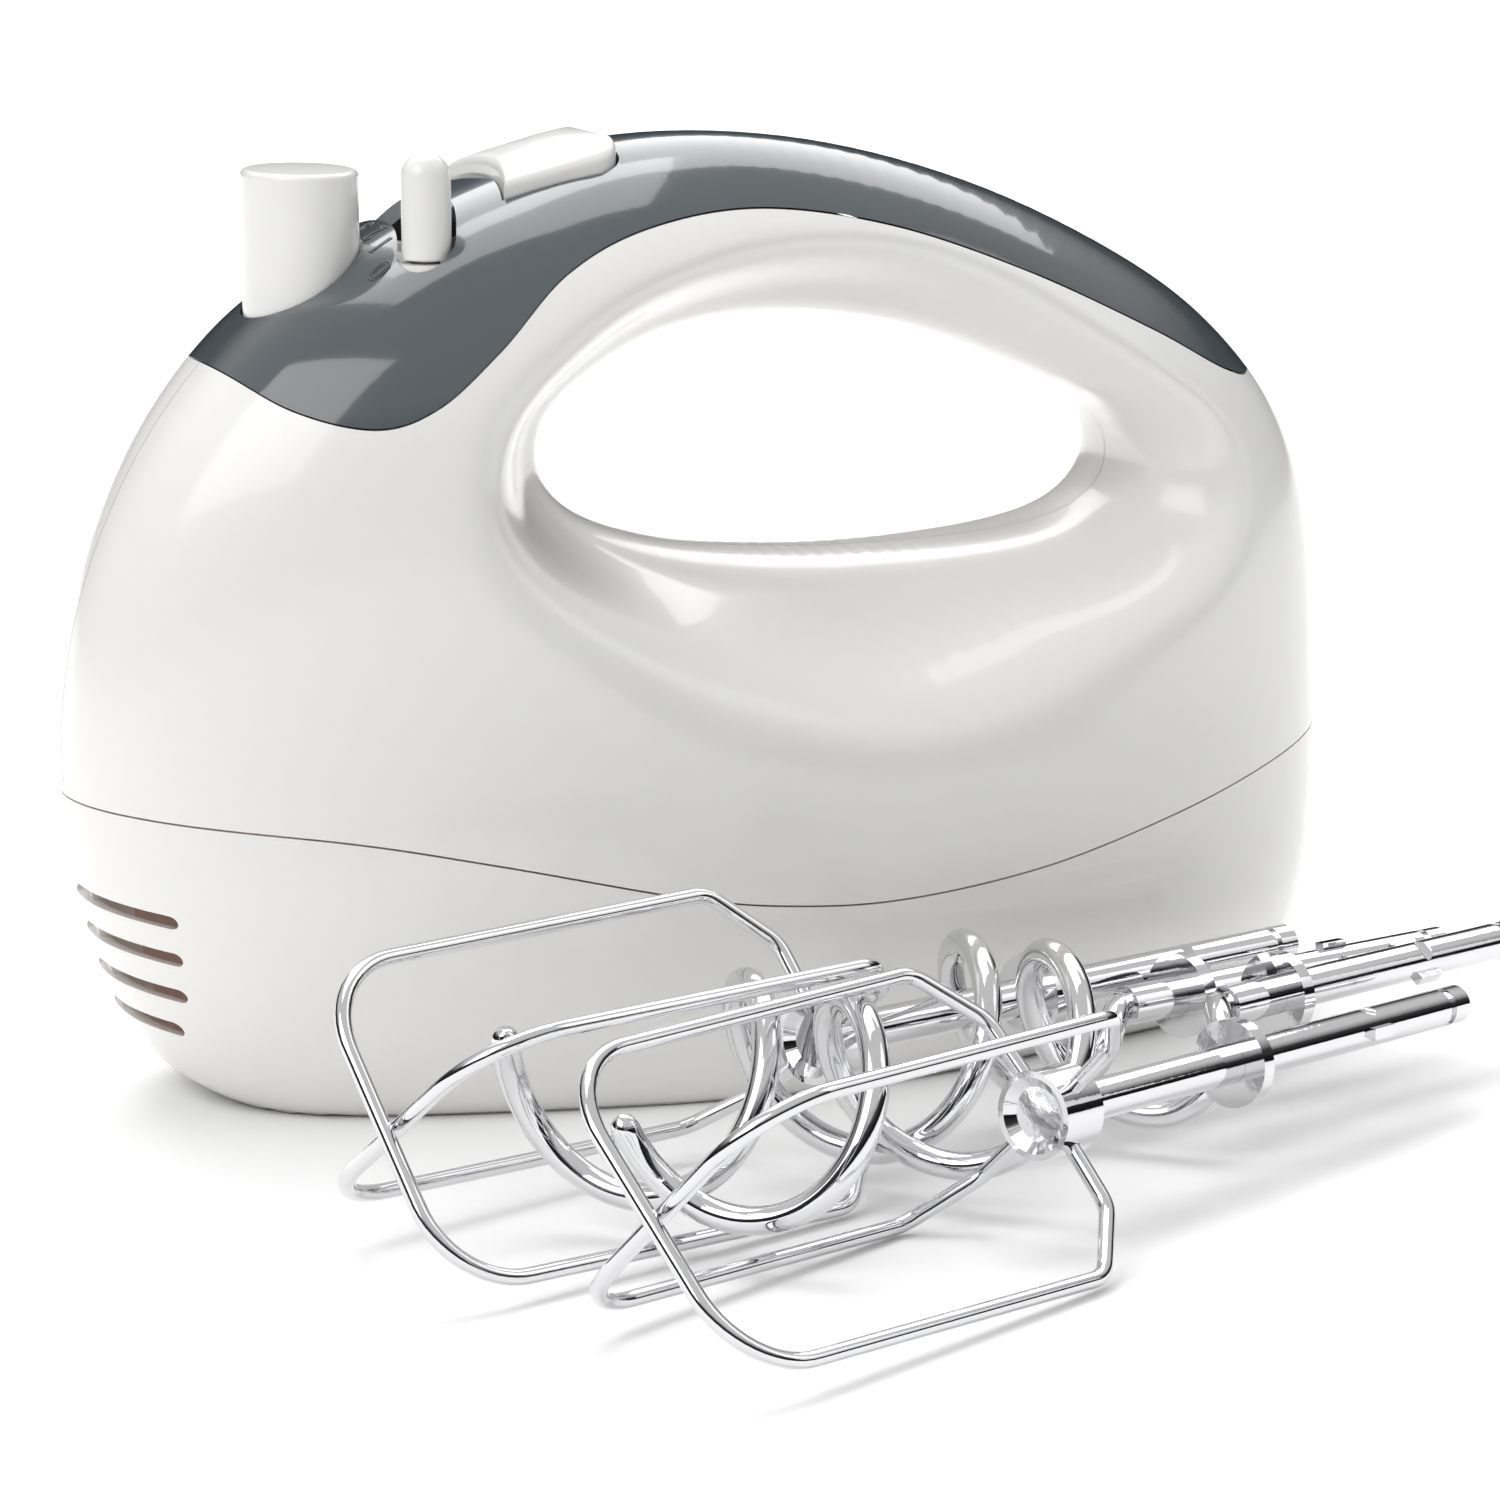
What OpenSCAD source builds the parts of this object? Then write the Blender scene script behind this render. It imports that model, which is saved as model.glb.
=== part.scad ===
// Hand mixer with two wire beaters and two dough hooks lying beside it.
// Origin: centre of the flat base. +Z up, the nose with the vents points to -X, the tail to +X.

/* [Body] */
// Half of the widest width of the housing
body_half_width = 43.5; // [42:0.5:45]
// Wall thickness of the moulded shells
wall = 2.2; // [2:0.1:2.4]
// Points round the hand hole in the shell mesh
rim_steps = 48; // [40:8:48]
// Points from the hand hole out to the outline in the shell mesh
side_steps = 10; // [9:1:10]

/* [Controls] */
// Height of the eject button's top above the base
eject_top_z = 144.5; // [142:0.5:146]
// How far the eject button goes down
eject_travel = 8; // [6:0.5:8]
// How far the turbo button goes down
turbo_travel = 2.5; // [2:0.25:2.5]
// Angle that the speed lever sweeps from 0 to 5
lever_sweep = 42; // [36:1:42]

/* [Drive] */
// Distance between the two beater sockets
socket_spacing = 36; // [36:0.5:37]
// Height of the motor shaft above the base
motor_z = 40; // [39:0.5:41]
// Teeth on each worm wheel
wheel_teeth = 27; // [27:1:27]
// Diameter of the beater shank
shank_d = 6; // [5.8:0.1:6]

/* [Attachments] */
// Half of the diagonal of a beater cage
cage_r = 26; // [25:0.5:26]
// Thickness of the beater wire
beater_wire_d = 2.4; // [2.2:0.1:2.4]
// Thickness of the dough hook wire
hook_wire_d = 4.2; // [4:0.1:4.2]

/* [Hidden] */

$fn = 48;
white = "#f1f0ee";
cover_grey = "#67737a";
steel = "#c9ccd0";
brass = "#c8a04a";
copper = "#b3653a";
black = "#2b2b2d";
nylon = "#e7e2d2";
eps = 0.01;

// ---- Body form -------------------------------------------------------------
// The side outline and the hand hole are closed smooth curves through a few points [x, z].
outline_centre = [0, 60];
hole_centre = [16, 100];
outline_points = [[106.5, 52], [105.3, 76], [101, 94], [91, 109.5], [74, 123.5], [45, 137.8],
    [14, 146.2], [-16, 147.5], [-42, 141], [-62, 131.5], [-80, 119.5], [-94, 102.5],
    [-103.5, 82], [-107.5, 62], [-107, 46], [-104.3, 30], [-98, 12], [-87, 1.5], [-70, -3],
    [-30, -3], [10, -3], [50, -3], [82, -2], [95.5, 4.5], [102, 16], [105.3, 32]];
hole_points = [[69.5, 94], [67, 87], [58, 82.5], [40, 80.5], [15, 80.5], [-8, 83], [-24, 88.5],
    [-31, 96], [-30, 105], [-21, 112.5], [-9, 117.5], [8, 119], [30, 116], [52, 107.5], [65, 101]];
// [angle round the outline centre, roundness]: 2 is an ellipse, more is squarer
roundness = [[0, 2], [90, 2], [128, 2.8], [180, 2.1], [205, 2.4], [270, 7.5], [335, 2.4], [360, 2]];
// [angle round the hole centre, depth of the edge, half-width of the edge, width of the dish]
hole_edge = [[0, 8, 19, 22], [90, 11, 13, 17], [180, 11, 14, 17], [270, 8, 17, 21], [360, 8, 19, 22]];
dish_rise = 30;
blend = 7;

function ease(t) = t * t * (3 - 2 * t);
function segment(table, a, i = 0) =
    (i >= len(table) - 2 || a < table[i + 1][0]) ? i : segment(table, a, i + 1);
// A value that changes smoothly round a circle of angles
function around(table, a, column = 1) =
    let (i = segment(table, a), t = (a - table[i][0]) / (table[i + 1][0] - table[i][0]))
    table[i][column] + (table[i + 1][column] - table[i][column]) * ease(t);
function spline(a, b, c, d, t) = 0.5 * (2 * b + (c - a) * t + (2 * a - 5 * b + 4 * c - d) * t * t
    + (3 * b - a - 3 * c + d) * t * t * t);
function closed_curve(points, steps = 8) = let (n = len(points))
    [for (i = [0 : n - 1], k = [0 : steps - 1])
        spline(points[(i + n - 1) % n], points[i], points[(i + 1) % n], points[(i + 2) % n], k / steps)];
function open_curve(points, steps = 8) = let (n = len(points))
    concat([for (i = [0 : n - 2], k = [0 : steps - 1])
        spline(points[max(i - 1, 0)], points[i], points[i + 1], points[min(i + 2, n - 1)], k / steps)],
        [points[n - 1]]);
function turn_of(v) = (atan2(v[1], v[0]) + 360) % 360;
// Radius of a closed curve at each angle round a centre
function polar(curve, centre) =
    let (ring = [for (p = curve) [turn_of(p - centre), norm(p - centre)]])
    concat(ring, [for (p = ring) [p[0] - 360, p[1]]], [for (p = ring) [p[0] + 360, p[1]]]);
outline_curve = closed_curve(outline_points);
outline_polar = polar(outline_curve, outline_centre);
outline_from_hole = polar(outline_curve, hole_centre);
hole_polar = polar(closed_curve(hole_points), hole_centre);

// Half-width of the plain body at [x, z], with the outline drawn in by inset
function plain_half_width(p, inset) =
    let (v = p - outline_centre, a = turn_of(v), reach = lookup(a, outline_polar) - inset,
        k = around(roundness, a), rho = min(norm(v) / reach, 1))
    (body_half_width - inset) * pow(1 - pow(rho, k), 1 / k);
// Half-width allowed by the rounded edge and the dish of the hand hole
function dish_half_width(p, inset) =
    let (v = p - hole_centre, a = turn_of(v), d = max(norm(v) - lookup(a, hole_polar) - inset, 0),
        depth = around(hole_edge, a, 1), half = around(hole_edge, a, 2) - inset,
        dish = around(hole_edge, a, 3), s = max(1 - d / depth, 0),
        g = max((d - depth / 2) / (dish - depth / 2), 0))
    half * pow(1 - pow(s, 2.3), 1 / 2.3) + dish_rise * pow(g, 1.5);
function soft_min(a, b, k) = let (h = max(min(0.5 + 0.5 * (b - a) / k, 1), 0))
    b * (1 - h) + a * h - k * h * (1 - h);
function half_width(p, inset) =
    let (a = plain_half_width(p, inset), b = dish_half_width(p, inset))
    max(soft_min(a, b, min(blend, min(a, b) * 0.9 + eps)), 0);

// The body is a ring round the hand hole: a grid of sections swept round it
module body_form(inset, floor_z) {
    m = 2 * side_steps;
    grid = [for (i = [0 : rim_steps - 1])
        let (a = i * 360 / rim_steps, inner = lookup(a, hole_polar) + inset,
            outer = lookup(a, outline_from_hole) - inset)
        for (j = [0 : m - 1])
            let (q = j <= side_steps ? j : m - j, side = j <= side_steps ? -1 : 1,
                s = 0.5 - 0.5 * cos(180 * q / side_steps), r = inner + (outer - inner) * s,
                p = hole_centre + r * [cos(a), sin(a)],
                least = sin(180 * q / side_steps),
                w = (q == 0 || q == side_steps) ? 0 : max(half_width(p, inset), least))
            [p[0], side * w, max(p[1], floor_z)]];
    faces = [for (i = [0 : rim_steps - 1], j = [0 : m - 1])
        let (a = i * m + j, b = i * m + (j + 1) % m, c = ((i + 1) % rim_steps) * m + (j + 1) % m,
            d = ((i + 1) % rim_steps) * m + j)
        each [[a, c, b], [a, d, c]]];
    polyhedron(points = grid, faces = faces, convexity = 8);
}
module shell() {
    difference() {
        body_form(0, 0);
        body_form(wall, wall);
    }
}
// A block that runs right through the body, with the given side view
module side_block(points, y0 = -60, y1 = 60) {
    translate([0, y1, 0]) rotate([90, 0, 0]) linear_extrude(y1 - y0) polygon(points);
}

// ---- Seams -----------------------------------------------------------------
// Lower edge of the grey cover, from the nose to the tail, as [x, z]
cover_seam = open_curve([[-110, 131], [-96, 122], [-86, 116.5], [-77, 110.5], [-66, 108], [-57, 111],
    [-47, 119], [-35, 129.5], [-20, 135.5], [0, 137.5], [22, 134], [45, 126], [68, 115.5], [84, 107.5],
    [93, 106.5], [110, 112]], 3);
// Seam between the upper housing halves and the lower housing
base_seam = open_curve([[-115, 50], [-98, 48.4], [-72, 45.8], [-50, 41.6], [-22, 35], [-5, 32.2],
    [14, 31.4], [40, 34], [65, 39.2], [90, 44.5], [115, 49]], 3);
above_cover_seam = concat(cover_seam, [[115, 170], [-115, 170]]);
below_base_seam = concat(base_seam, [[120, -10], [-120, -10]]);

// ---- Controls: places ------------------------------------------------------
eject_x = -68;
eject_half_x = 8.8;
eject_half_y = 11.5;
lever_pivot_x = -95;
lever_reach = 45;
lever_pin_r = 3.8;
lever_top_z = 147.7;
slot_width = 9;
turbo_front_x = -39;
turbo_back_x = -20;
turbo_half_y = 14;
turbo_proud = 2.6;
turbo_stem_x = -29;
play = 0.4;

// ---- Drive: places ---------------------------------------------------------
spindle_x = -56;
sleeve_r = 5;
sleeve_bottom_z = 3;
sleeve_top_z = 66;
socket_r = shank_d / 2 + 0.05;
socket_top_z = 48;
pin_hole_r = 2.1;
wheel_thick = 8;
pitch_r = socket_spacing / 2 - 4.5;
thread_pitch = 2 * PI * pitch_r / wheel_teeth;
worm_root_r = 3.3;
worm_crest_r = 5;
shaft_r = 2.5;
run_play = 0.05;
bush_r = 7.5;
frame_half_y = 27;
core_x0 = -22;
core_x1 = 18;
rotor_r = 15;
air_gap = 0.5;
stator_half_y = 27;
stator_half_z = 22;
commutator_x0 = 26;
commutator_x1 = 36;
commutator_r = 9;
rear_bearing_x = 46;

module round_bar(x0, x1, r, y = 0, z = motor_z) {
    translate([x0, y, z]) rotate([0, 90, 0]) cylinder(r = r, h = x1 - x0);
}
module ring(r_out, r_in, h) {
    difference() {
        cylinder(r = r_out, h = h);
        translate([0, 0, -1]) cylinder(r = r_in, h = h + 2);
    }
}
module oval(a, b, h) {
    scale_y = b / a;
    linear_extrude(h) polygon([for (t = [0 : 7.5 : 352.5]) [a * cos(t), a * scale_y * sin(t)]]);
}
// Left and right copies about the middle plane
module both_sides() {
    for (s = [-1, 1]) translate([0, s * socket_spacing / 2, 0]) children();
}
// A coil spring as one swept tube
module coil_spring(r, wire_r, height, turns) {
    steps = turns * 12;
    sides = 5;
    points = [for (i = [0 : steps], k = [0 : sides - 1])
        let (a = i * 360 * turns / steps, rr = r + wire_r * cos(k * 360 / sides))
        [rr * cos(a), rr * sin(a),
            wire_r + (height - 2 * wire_r) * i / steps - wire_r * sin(k * 360 / sides)]];
    sweep_skin(points, steps + 1, sides);
}
// Skin over rings of points with flat ends
module sweep_skin(points, rings, sides) {
    walls = [for (i = [0 : rings - 2], k = [0 : sides - 1])
        let (a = i * sides + k, b = i * sides + (k + 1) % sides)
        each [[a, a + sides, b], [b, a + sides, b + sides]]];
    ends = [[for (k = [0 : sides - 1]) k],
        [for (k = [sides - 1 : -1 : 0]) (rings - 1) * sides + k]];
    polyhedron(points = points, faces = concat(walls, ends), convexity = 6);
}

// ---- Housing ---------------------------------------------------------------
vent_count = 4;
vent_pitch = 5.9;
vent_height = 2;
vent_top_z = 31.8;
vent_slope = 9;
vent_half_y = 20;
vent_back_x = -88;
inlet_z = 24;
inlet_r = 6;
clamp_x = 79;
clamp_z = inlet_z + 0.2;
screw_places = [[8, -24], [8, 24], [72, -15], [72, 15]];
screw_r = 1.5;
boss_r = 3.8;
boss_top_z = 17.5;
screw_head_r = 2.8;

module vents() {
    for (i = [0 : vent_count - 1])
        translate([vent_back_x, 0, vent_top_z - i * vent_pitch]) rotate([0, vent_slope, 0])
            translate([-40, -vent_half_y, -vent_height / 2]) cube([40, 2 * vent_half_y, vent_height]);
}
module lower_housing() {
    color(white) difference() {
        union() {
            difference() {
                intersection() {
                    shell();
                    side_block(below_base_seam);
                }
                vents();
            }
            // Rib behind the vent slots
            side_block([[-93.2, 8.5], [-99.3, 16], [-102.6, 26], [-104.2, 36], [-98, 36], [-96.5, 26],
                [-94, 16], [-90, 8.5]], -1, 1);
            for (p = screw_places) translate([p[0], p[1], wall - 0.4])
                cylinder(r = boss_r, h = boss_top_z - wall + 0.4);
            clamp_places() translate([0, 0, wall - 0.4]) cylinder(r = 3.2, h = clamp_z - wall + 0.4);
        }
        both_sides() translate([spindle_x, 0, -1]) cylinder(r = sleeve_r + 1.5, h = wall + 3);
        translate([90, 0, inlet_z]) rotate([0, 90, 0]) cylinder(r = inlet_r + 0.05, h = 30);
        for (p = screw_places) translate([p[0], p[1], -1]) {
            cylinder(r = screw_r + 0.1, h = boss_top_z + 4);
            cylinder(r = screw_head_r + 0.3, h = 4.5);
        }
        clamp_places() translate([0, 0, 8]) cylinder(r = screw_r + 0.1, h = 20);
    }
}
module upper_housing(side) {
    difference() {
        shell();
        side_block(above_cover_seam);
        side_block(below_base_seam);
        translate([-150, side > 0 ? -100 : 0, -10]) cube([300, 100, 200]);
    }
}
module upper_housing_left() {
    color(white) upper_housing(-1);
}
module upper_housing_right() {
    color(white) upper_housing(1);
}
// Everything below a roof that is curved across the body and climbs toward the tail by slope degrees
module under_crown(x, z, slope, r) {
    translate([x, 0, z]) rotate([0, 90 - slope, 0]) translate([r, 0, -60]) cylinder(r = r, h = 120);
}
// Plan shape of a curved slot round the lever's pivot
module arc_slot(half_sweep, width) {
    translate([lever_pivot_x, 0]) {
        rotate([0, 0, -half_sweep]) rotate_extrude(angle = 2 * half_sweep)
            translate([lever_reach - width / 2, 0]) square([width, 60]);
        for (a = [-half_sweep, half_sweep])
            rotate([0, 0, a]) translate([lever_reach, 0, 0]) cylinder(r = width / 2, h = 60);
    }
}
// Plan shape of the turbo button
module turbo_plan(grow) {
    corner = 5;
    front_r = turbo_front_x - lever_pivot_x + 1;
    back = turbo_back_x + grow;
    half = turbo_half_y + grow;
    sweep = asin(half / front_r);
    linear_extrude(60) polygon(concat(
        [for (a = [sweep : -sweep / 6 : -sweep - eps])
            [lever_pivot_x + (front_r - grow) * cos(a), front_r * sin(a)]],
        [for (a = [-90 : 15 : 0]) [back - corner + corner * cos(a), -half + corner + corner * sin(a)]],
        [for (a = [0 : 15 : 90]) [back - corner + corner * cos(a), half - corner + corner * sin(a)]]));
}
module top_cover() {
    color(cover_grey) difference() {
        intersection() {
            shell();
            side_block(above_cover_seam);
        }
        translate([eject_x, 0, 100]) oval(eject_half_x + play, eject_half_y + play, 60);
        translate([0, 0, 100]) arc_slot(lever_sweep / 2 + 1, slot_width);
        translate([0, 0, 120]) turbo_plan(play);
    }
}
module speed_slot_plate() {
    color(white) difference() {
        intersection() {
            under_crown(-54, 130.2, 25, 38);
            translate([0, 0, 100]) arc_slot(lever_sweep / 2 + 3, slot_width + 5);
        }
        under_crown(-54, 128.2, 25, 38);
        translate([0, 0, 90]) arc_slot(lever_sweep / 2 + 0.5, 5);
    }
}
module housing_screws() {
    color(steel) for (p = screw_places) translate([p[0], p[1], 1.5]) {
        cylinder(r = screw_r, h = boss_top_z - 4);
        difference() {
            cylinder(r = screw_head_r, h = 2);
            for (a = [0, 90]) rotate([0, 0, a]) translate([-1.8, -0.4, -eps]) cube([3.6, 0.8, 1]);
        }
    }
}
module cord_inlet_grommet() {
    color(white) translate([95, 0, inlet_z]) rotate([0, 90, 0]) difference() {
        union() {
            cylinder(r = inlet_r, h = 9);
            cylinder(r = inlet_r + 2.5, h = 2.5);
        }
        translate([0, 0, -1]) cylinder(r = 3.3, h = 12);
    }
}
module clamp_places() {
    for (s = [-1, 1]) translate([clamp_x, s * 8, 0]) children();
}
module cord_clamp() {
    color(white) difference() {
        translate([clamp_x - 4, -12, clamp_z]) cube([8, 24, 5]);
        round_bar(clamp_x - 10, clamp_x + 10, 3.2, 0, inlet_z);
        clamp_places() cylinder(r = screw_r + 0.1, h = 40);
    }
}
module cord_clamp_screws() {
    color(steel) clamp_places() {
        translate([0, 0, 10]) cylinder(r = screw_r, h = clamp_z - 5);
        translate([0, 0, clamp_z + 5]) cylinder(r = screw_head_r, h = 1.8);
    }
}

// ---- Gearbox and motor -----------------------------------------------------
module gearbox_frame() {
    color(nylon) difference() {
        union() {
            for (z = [8, 58]) {
                translate([-76, -20, z]) cube([20, 40, 4]);
                translate([-65, -frame_half_y, z]) cube([24, 2 * frame_half_y, 4]);
            }
            translate([-76, -10, 12]) cube([4, 20, 46]);
            for (s = [-1, 1]) translate([-43.5, s * 7.8 - 1.4, 12]) cube([2.4, 2.8, 46]);
        }
        both_sides() translate([spindle_x, 0, 0]) cylinder(r = bush_r + 0.03, h = 80);
        round_bar(-90, -70, 5.53);
    }
}
module spindle_bushes() {
    color(brass) both_sides() for (z = [7, 57])
        translate([spindle_x, 0, z]) ring(bush_r, sleeve_r + run_play, 6);
}
module armature_bushes() {
    color(brass) {
        translate([-77, 0, motor_z]) rotate([0, 90, 0]) ring(5.5, shaft_r + run_play, 5.5);
        translate([rear_bearing_x - 1, 0, motor_z]) rotate([0, 90, 0]) ring(5.5, shaft_r + run_play, 6);
    }
}
module bolt_places() {
    for (y = [-23, 23], z = [motor_z - 18, motor_z + 18]) translate([0, y, z]) children();
}
module end_plate(x, hole) {
    difference() {
        translate([x, -frame_half_y, 15]) cube([3, 2 * frame_half_y, 46]);
        round_bar(x - 1, x + 4, hole);
        bolt_places() rotate([0, 90, 0]) translate([0, 0, x - 1]) cylinder(r = 1.7, h = 6);
    }
}
module motor_bracket_front() {
    color(steel) end_plate(-40.9, 4.5);
}
module motor_bracket_rear() {
    color(steel) end_plate(rear_bearing_x, 5.53);
}
module motor_screws() {
    color(steel) bolt_places() rotate([0, 90, 0]) {
        translate([0, 0, -40.9]) cylinder(r = 1.5, h = rear_bearing_x + 44);
        translate([0, 0, rear_bearing_x + 3.1]) cylinder(r = 2.8, h = 2);
    }
}
module stator_core() {
    color("#8d9094") difference() {
        translate([core_x0, -stator_half_y, motor_z - stator_half_z])
            cube([core_x1 - core_x0, 2 * stator_half_y, 2 * stator_half_z]);
        round_bar(core_x0 - 1, core_x1 + 1, rotor_r + air_gap);
        for (s = [-1, 1]) translate([core_x0 - 1, -14, motor_z + s * 15.6 - 3.4]) cube([42, 28, 6.8]);
        bolt_places() rotate([0, 90, 0]) translate([0, 0, core_x0 - 1]) cylinder(r = 1.7, h = 42);
    }
}
module field_coil(s) {
    color(copper) translate([0, 0, motor_z + s * 17.3]) {
        translate([-25, -13.5, -1.4]) cube([46, 27, 2.8]);
        for (x = [-26.5, 18.4]) translate([x, -18, -2.2]) cube([4.2, 36, 5]);
    }
}
module field_coil_upper() {
    field_coil(1);
}
module field_coil_lower() {
    field_coil(-1);
}
module armature_shaft() {
    steps = 84;
    thread_turns = 7;
    x_mid = spindle_x;
    half = 0.55;
    foot = worm_root_r + 0.02;
    tooth = [[foot, 0.75], [worm_crest_r, half], [worm_crest_r, -half], [foot, -0.75]];
    points = [for (i = [0 : steps], k = [0 : 3])
        let (a = 360 * thread_turns * (i / steps - 0.5), r = tooth[k][0])
        [x_mid + thread_pitch * a / 360 + tooth[k][1], r * cos(a), motor_z + r * sin(a)]];
    color(steel) {
        round_bar(-75, 53, shaft_r);
        round_bar(x_mid - 13, x_mid + 13, worm_root_r);
        sweep_skin(points, steps + 1, 4);
    }
}
module armature_core() {
    color("#7d8085") difference() {
        round_bar(core_x0, core_x1, rotor_r);
        round_bar(core_x0 - 1, core_x1 + 1, shaft_r + 0.02);
        for (a = [0 : 30 : 330]) translate([core_x0 - 1, 0, motor_z]) rotate([a, 0, 0])
            translate([0, -1.6, 7]) cube([42, 3.2, 10]);
    }
}
module armature_windings() {
    color(copper) {
        for (a = [0 : 30 : 330]) translate([core_x0 - 2, 0, motor_z]) rotate([a, 0, 0])
            translate([0, -1.4, 8]) cube([44, 2.8, 5]);
        for (x = [core_x0 - 5.2, core_x1 + 0.2]) translate([x, 0, motor_z]) rotate([0, 90, 0])
            ring(13.4, 6, 5);
    }
}
module commutator() {
    color(copper) difference() {
        round_bar(commutator_x0, commutator_x1, commutator_r);
        round_bar(commutator_x0 - 1, commutator_x1 + 1, shaft_r + 0.02);
        for (a = [0 : 30 : 330]) translate([commutator_x0 - 1, 0, motor_z]) rotate([a, 0, 0])
            translate([0, -0.25, commutator_r - 1]) cube([14, 0.5, 3]);
    }
}
module cooling_fan() {
    color(nylon) difference() {
        translate([-36.5, 0, motor_z]) rotate([0, 90, 0]) union() {
            cylinder(r = 5, h = 7);
            cylinder(r = 20, h = 1.2);
            for (a = [0 : 40 : 320]) rotate([0, 0, a]) translate([4.5, -0.6, 0.6]) cube([15.5, 1.2, 6]);
        }
        round_bar(-40, -25, shaft_r + 0.02);
    }
}
module brush_sides() {
    for (s = [-1, 1]) translate([31, 0, motor_z]) rotate([s > 0 ? -90 : 90, 0, 0]) children();
}
module brush_holders() {
    color(brass) brush_sides() difference() {
        translate([-4, -4, commutator_r + 2]) cube([8, 8, 16]);
        translate([-2.5, -2.5, commutator_r]) cube([5, 5, 17]);
    }
}
module carbon_brushes() {
    color(black) brush_sides() translate([-2.35, -2.35, commutator_r + 0.3]) cube([4.7, 4.7, 8]);
}
module brush_springs() {
    color(steel) brush_sides() translate([0, 0, commutator_r + 8.4]) coil_spring(1.7, 0.3, 8.4, 4);
}

// ---- Drive to the beaters --------------------------------------------------
// phase turns the wheel so that a gap, or a tooth, meets the worm
module worm_wheel(phase) {
    root_r = pitch_r - 1.25;
    crest_r = pitch_r + 0.85;
    tooth = [[root_r, -3.4], [crest_r, -2], [crest_r, 2], [root_r, 3.4]];
    outline = [for (i = [0 : wheel_teeth - 1], p = tooth)
        let (a = i * 360 / wheel_teeth + phase + p[1]) p[0] * [cos(a), sin(a)]];
    difference() {
        linear_extrude(wheel_thick) polygon(outline);
        translate([0, 0, -1]) cylinder(r = sleeve_r + 0.02, h = wheel_thick + 2);
    }
}
module drive_gear(s) {
    tooth = 360 / wheel_teeth;
    facing = s > 0 ? -90 + tooth / 2 : 90;
    color(nylon) translate([spindle_x, s * socket_spacing / 2, motor_z - wheel_thick / 2])
        worm_wheel(facing);
}
module drive_gear_left() {
    drive_gear(-1);
}
module drive_gear_right() {
    drive_gear(1);
}
module drive_sleeve(s) {
    color(steel) translate([spindle_x, s * socket_spacing / 2, 0]) difference() {
        translate([0, 0, sleeve_bottom_z]) cylinder(r = sleeve_r, h = sleeve_top_z - sleeve_bottom_z);
        translate([0, 0, sleeve_bottom_z - 1]) cylinder(r = socket_r, h = socket_top_z - sleeve_bottom_z + 1);
        translate([0, 0, socket_top_z - 1]) cylinder(r = pin_hole_r, h = 30);
    }
}
module drive_sleeve_left() {
    drive_sleeve(-1);
}
module drive_sleeve_right() {
    drive_sleeve(1);
}

// ---- Eject -----------------------------------------------------------------
eject_skirt_z = 112;
eject_stem_x = -63;
eject_bar_z = 75;
guide_z = 84;
guide_thick = 3;
stem_r = 3;
module eject_button() {
    color(white) {
        translate([eject_x, 0, eject_skirt_z])
            oval(eject_half_x, eject_half_y, eject_top_z - eject_skirt_z);
        translate([eject_stem_x, 0, eject_bar_z + 5])
            cylinder(r = stem_r, h = eject_skirt_z - eject_bar_z - 4);
    }
}
module ejector_bar() {
    color(steel) {
        translate([-67, -22, eject_bar_z]) cube([16, 44, 5 - eps]);
        both_sides() translate([spindle_x, 0, socket_top_z + eject_travel + 1])
            cylinder(r = pin_hole_r - play, h = eject_bar_z - socket_top_z - eject_travel);
    }
}
module eject_guide() {
    color(white) difference() {
        translate([-76, -24, guide_z]) cube([24, 48, guide_thick]);
        translate([eject_stem_x, 0, guide_z - 1]) cylinder(r = stem_r + play, h = guide_thick + 2);
    }
}
module eject_spring() {
    color(steel) translate([eject_stem_x, 0, guide_z + guide_thick])
        coil_spring(stem_r + 1.5, 0.5, eject_skirt_z - guide_z - guide_thick, 6);
}

// ---- Speed lever -----------------------------------------------------------
slider_top_z = 119.7;
module at_lever() {
    translate([lever_pivot_x, 0, 0]) rotate([0, 0, -lever_sweep / 2])
        translate([lever_reach, 0, 0]) children();
}
module speed_lever() {
    color(white) at_lever() {
        translate([0, 0, 134.6]) cylinder(r = lever_pin_r, h = lever_top_z - lever_pin_r - 134.6);
        translate([0, 0, lever_top_z - lever_pin_r]) sphere(r = lever_pin_r);
        translate([0, 0, slider_top_z]) cylinder(r = 2, h = 136 - slider_top_z);
    }
}
module speed_slider() {
    color(nylon) at_lever() translate([-3.5, -5, 116]) cube([7, 10, slider_top_z - 116 - eps]);
}
module speed_switch() {
    color(black) translate([-55, -12, 101]) cube([14, 24, 13.5]);
    color(brass) for (y = [-9, -3, 3, 9]) translate([-42, y - 0.4, 96]) cube([0.6, 1.6, 6]);
}

// ---- Turbo -----------------------------------------------------------------
turbo_switch_z = 117;
turbo_collar_z = 129;
module turbo_button() {
    color(white) {
        difference() {
            intersection() {
                under_crown(-29, 145.1 + turbo_proud, 14.6, 40);
                translate([0, 0, 120]) turbo_plan(0);
            }
            under_crown(-29, 141, 14.6, 40);
        }
        translate([turbo_stem_x, 0, turbo_collar_z]) cylinder(r = 3.6, h = 12);
        translate([turbo_stem_x, 0, turbo_collar_z - 3]) cylinder(r = 1.8, h = 4);
    }
}
module turbo_spring() {
    color(steel) translate([turbo_stem_x, 0, turbo_switch_z + 5])
        coil_spring(2.8, 0.35, turbo_collar_z - turbo_switch_z - 5, 3);
}
module turbo_switch() {
    color(black) translate([turbo_stem_x - 5, -6, turbo_switch_z]) cube([10, 12, 5]);
}

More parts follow.
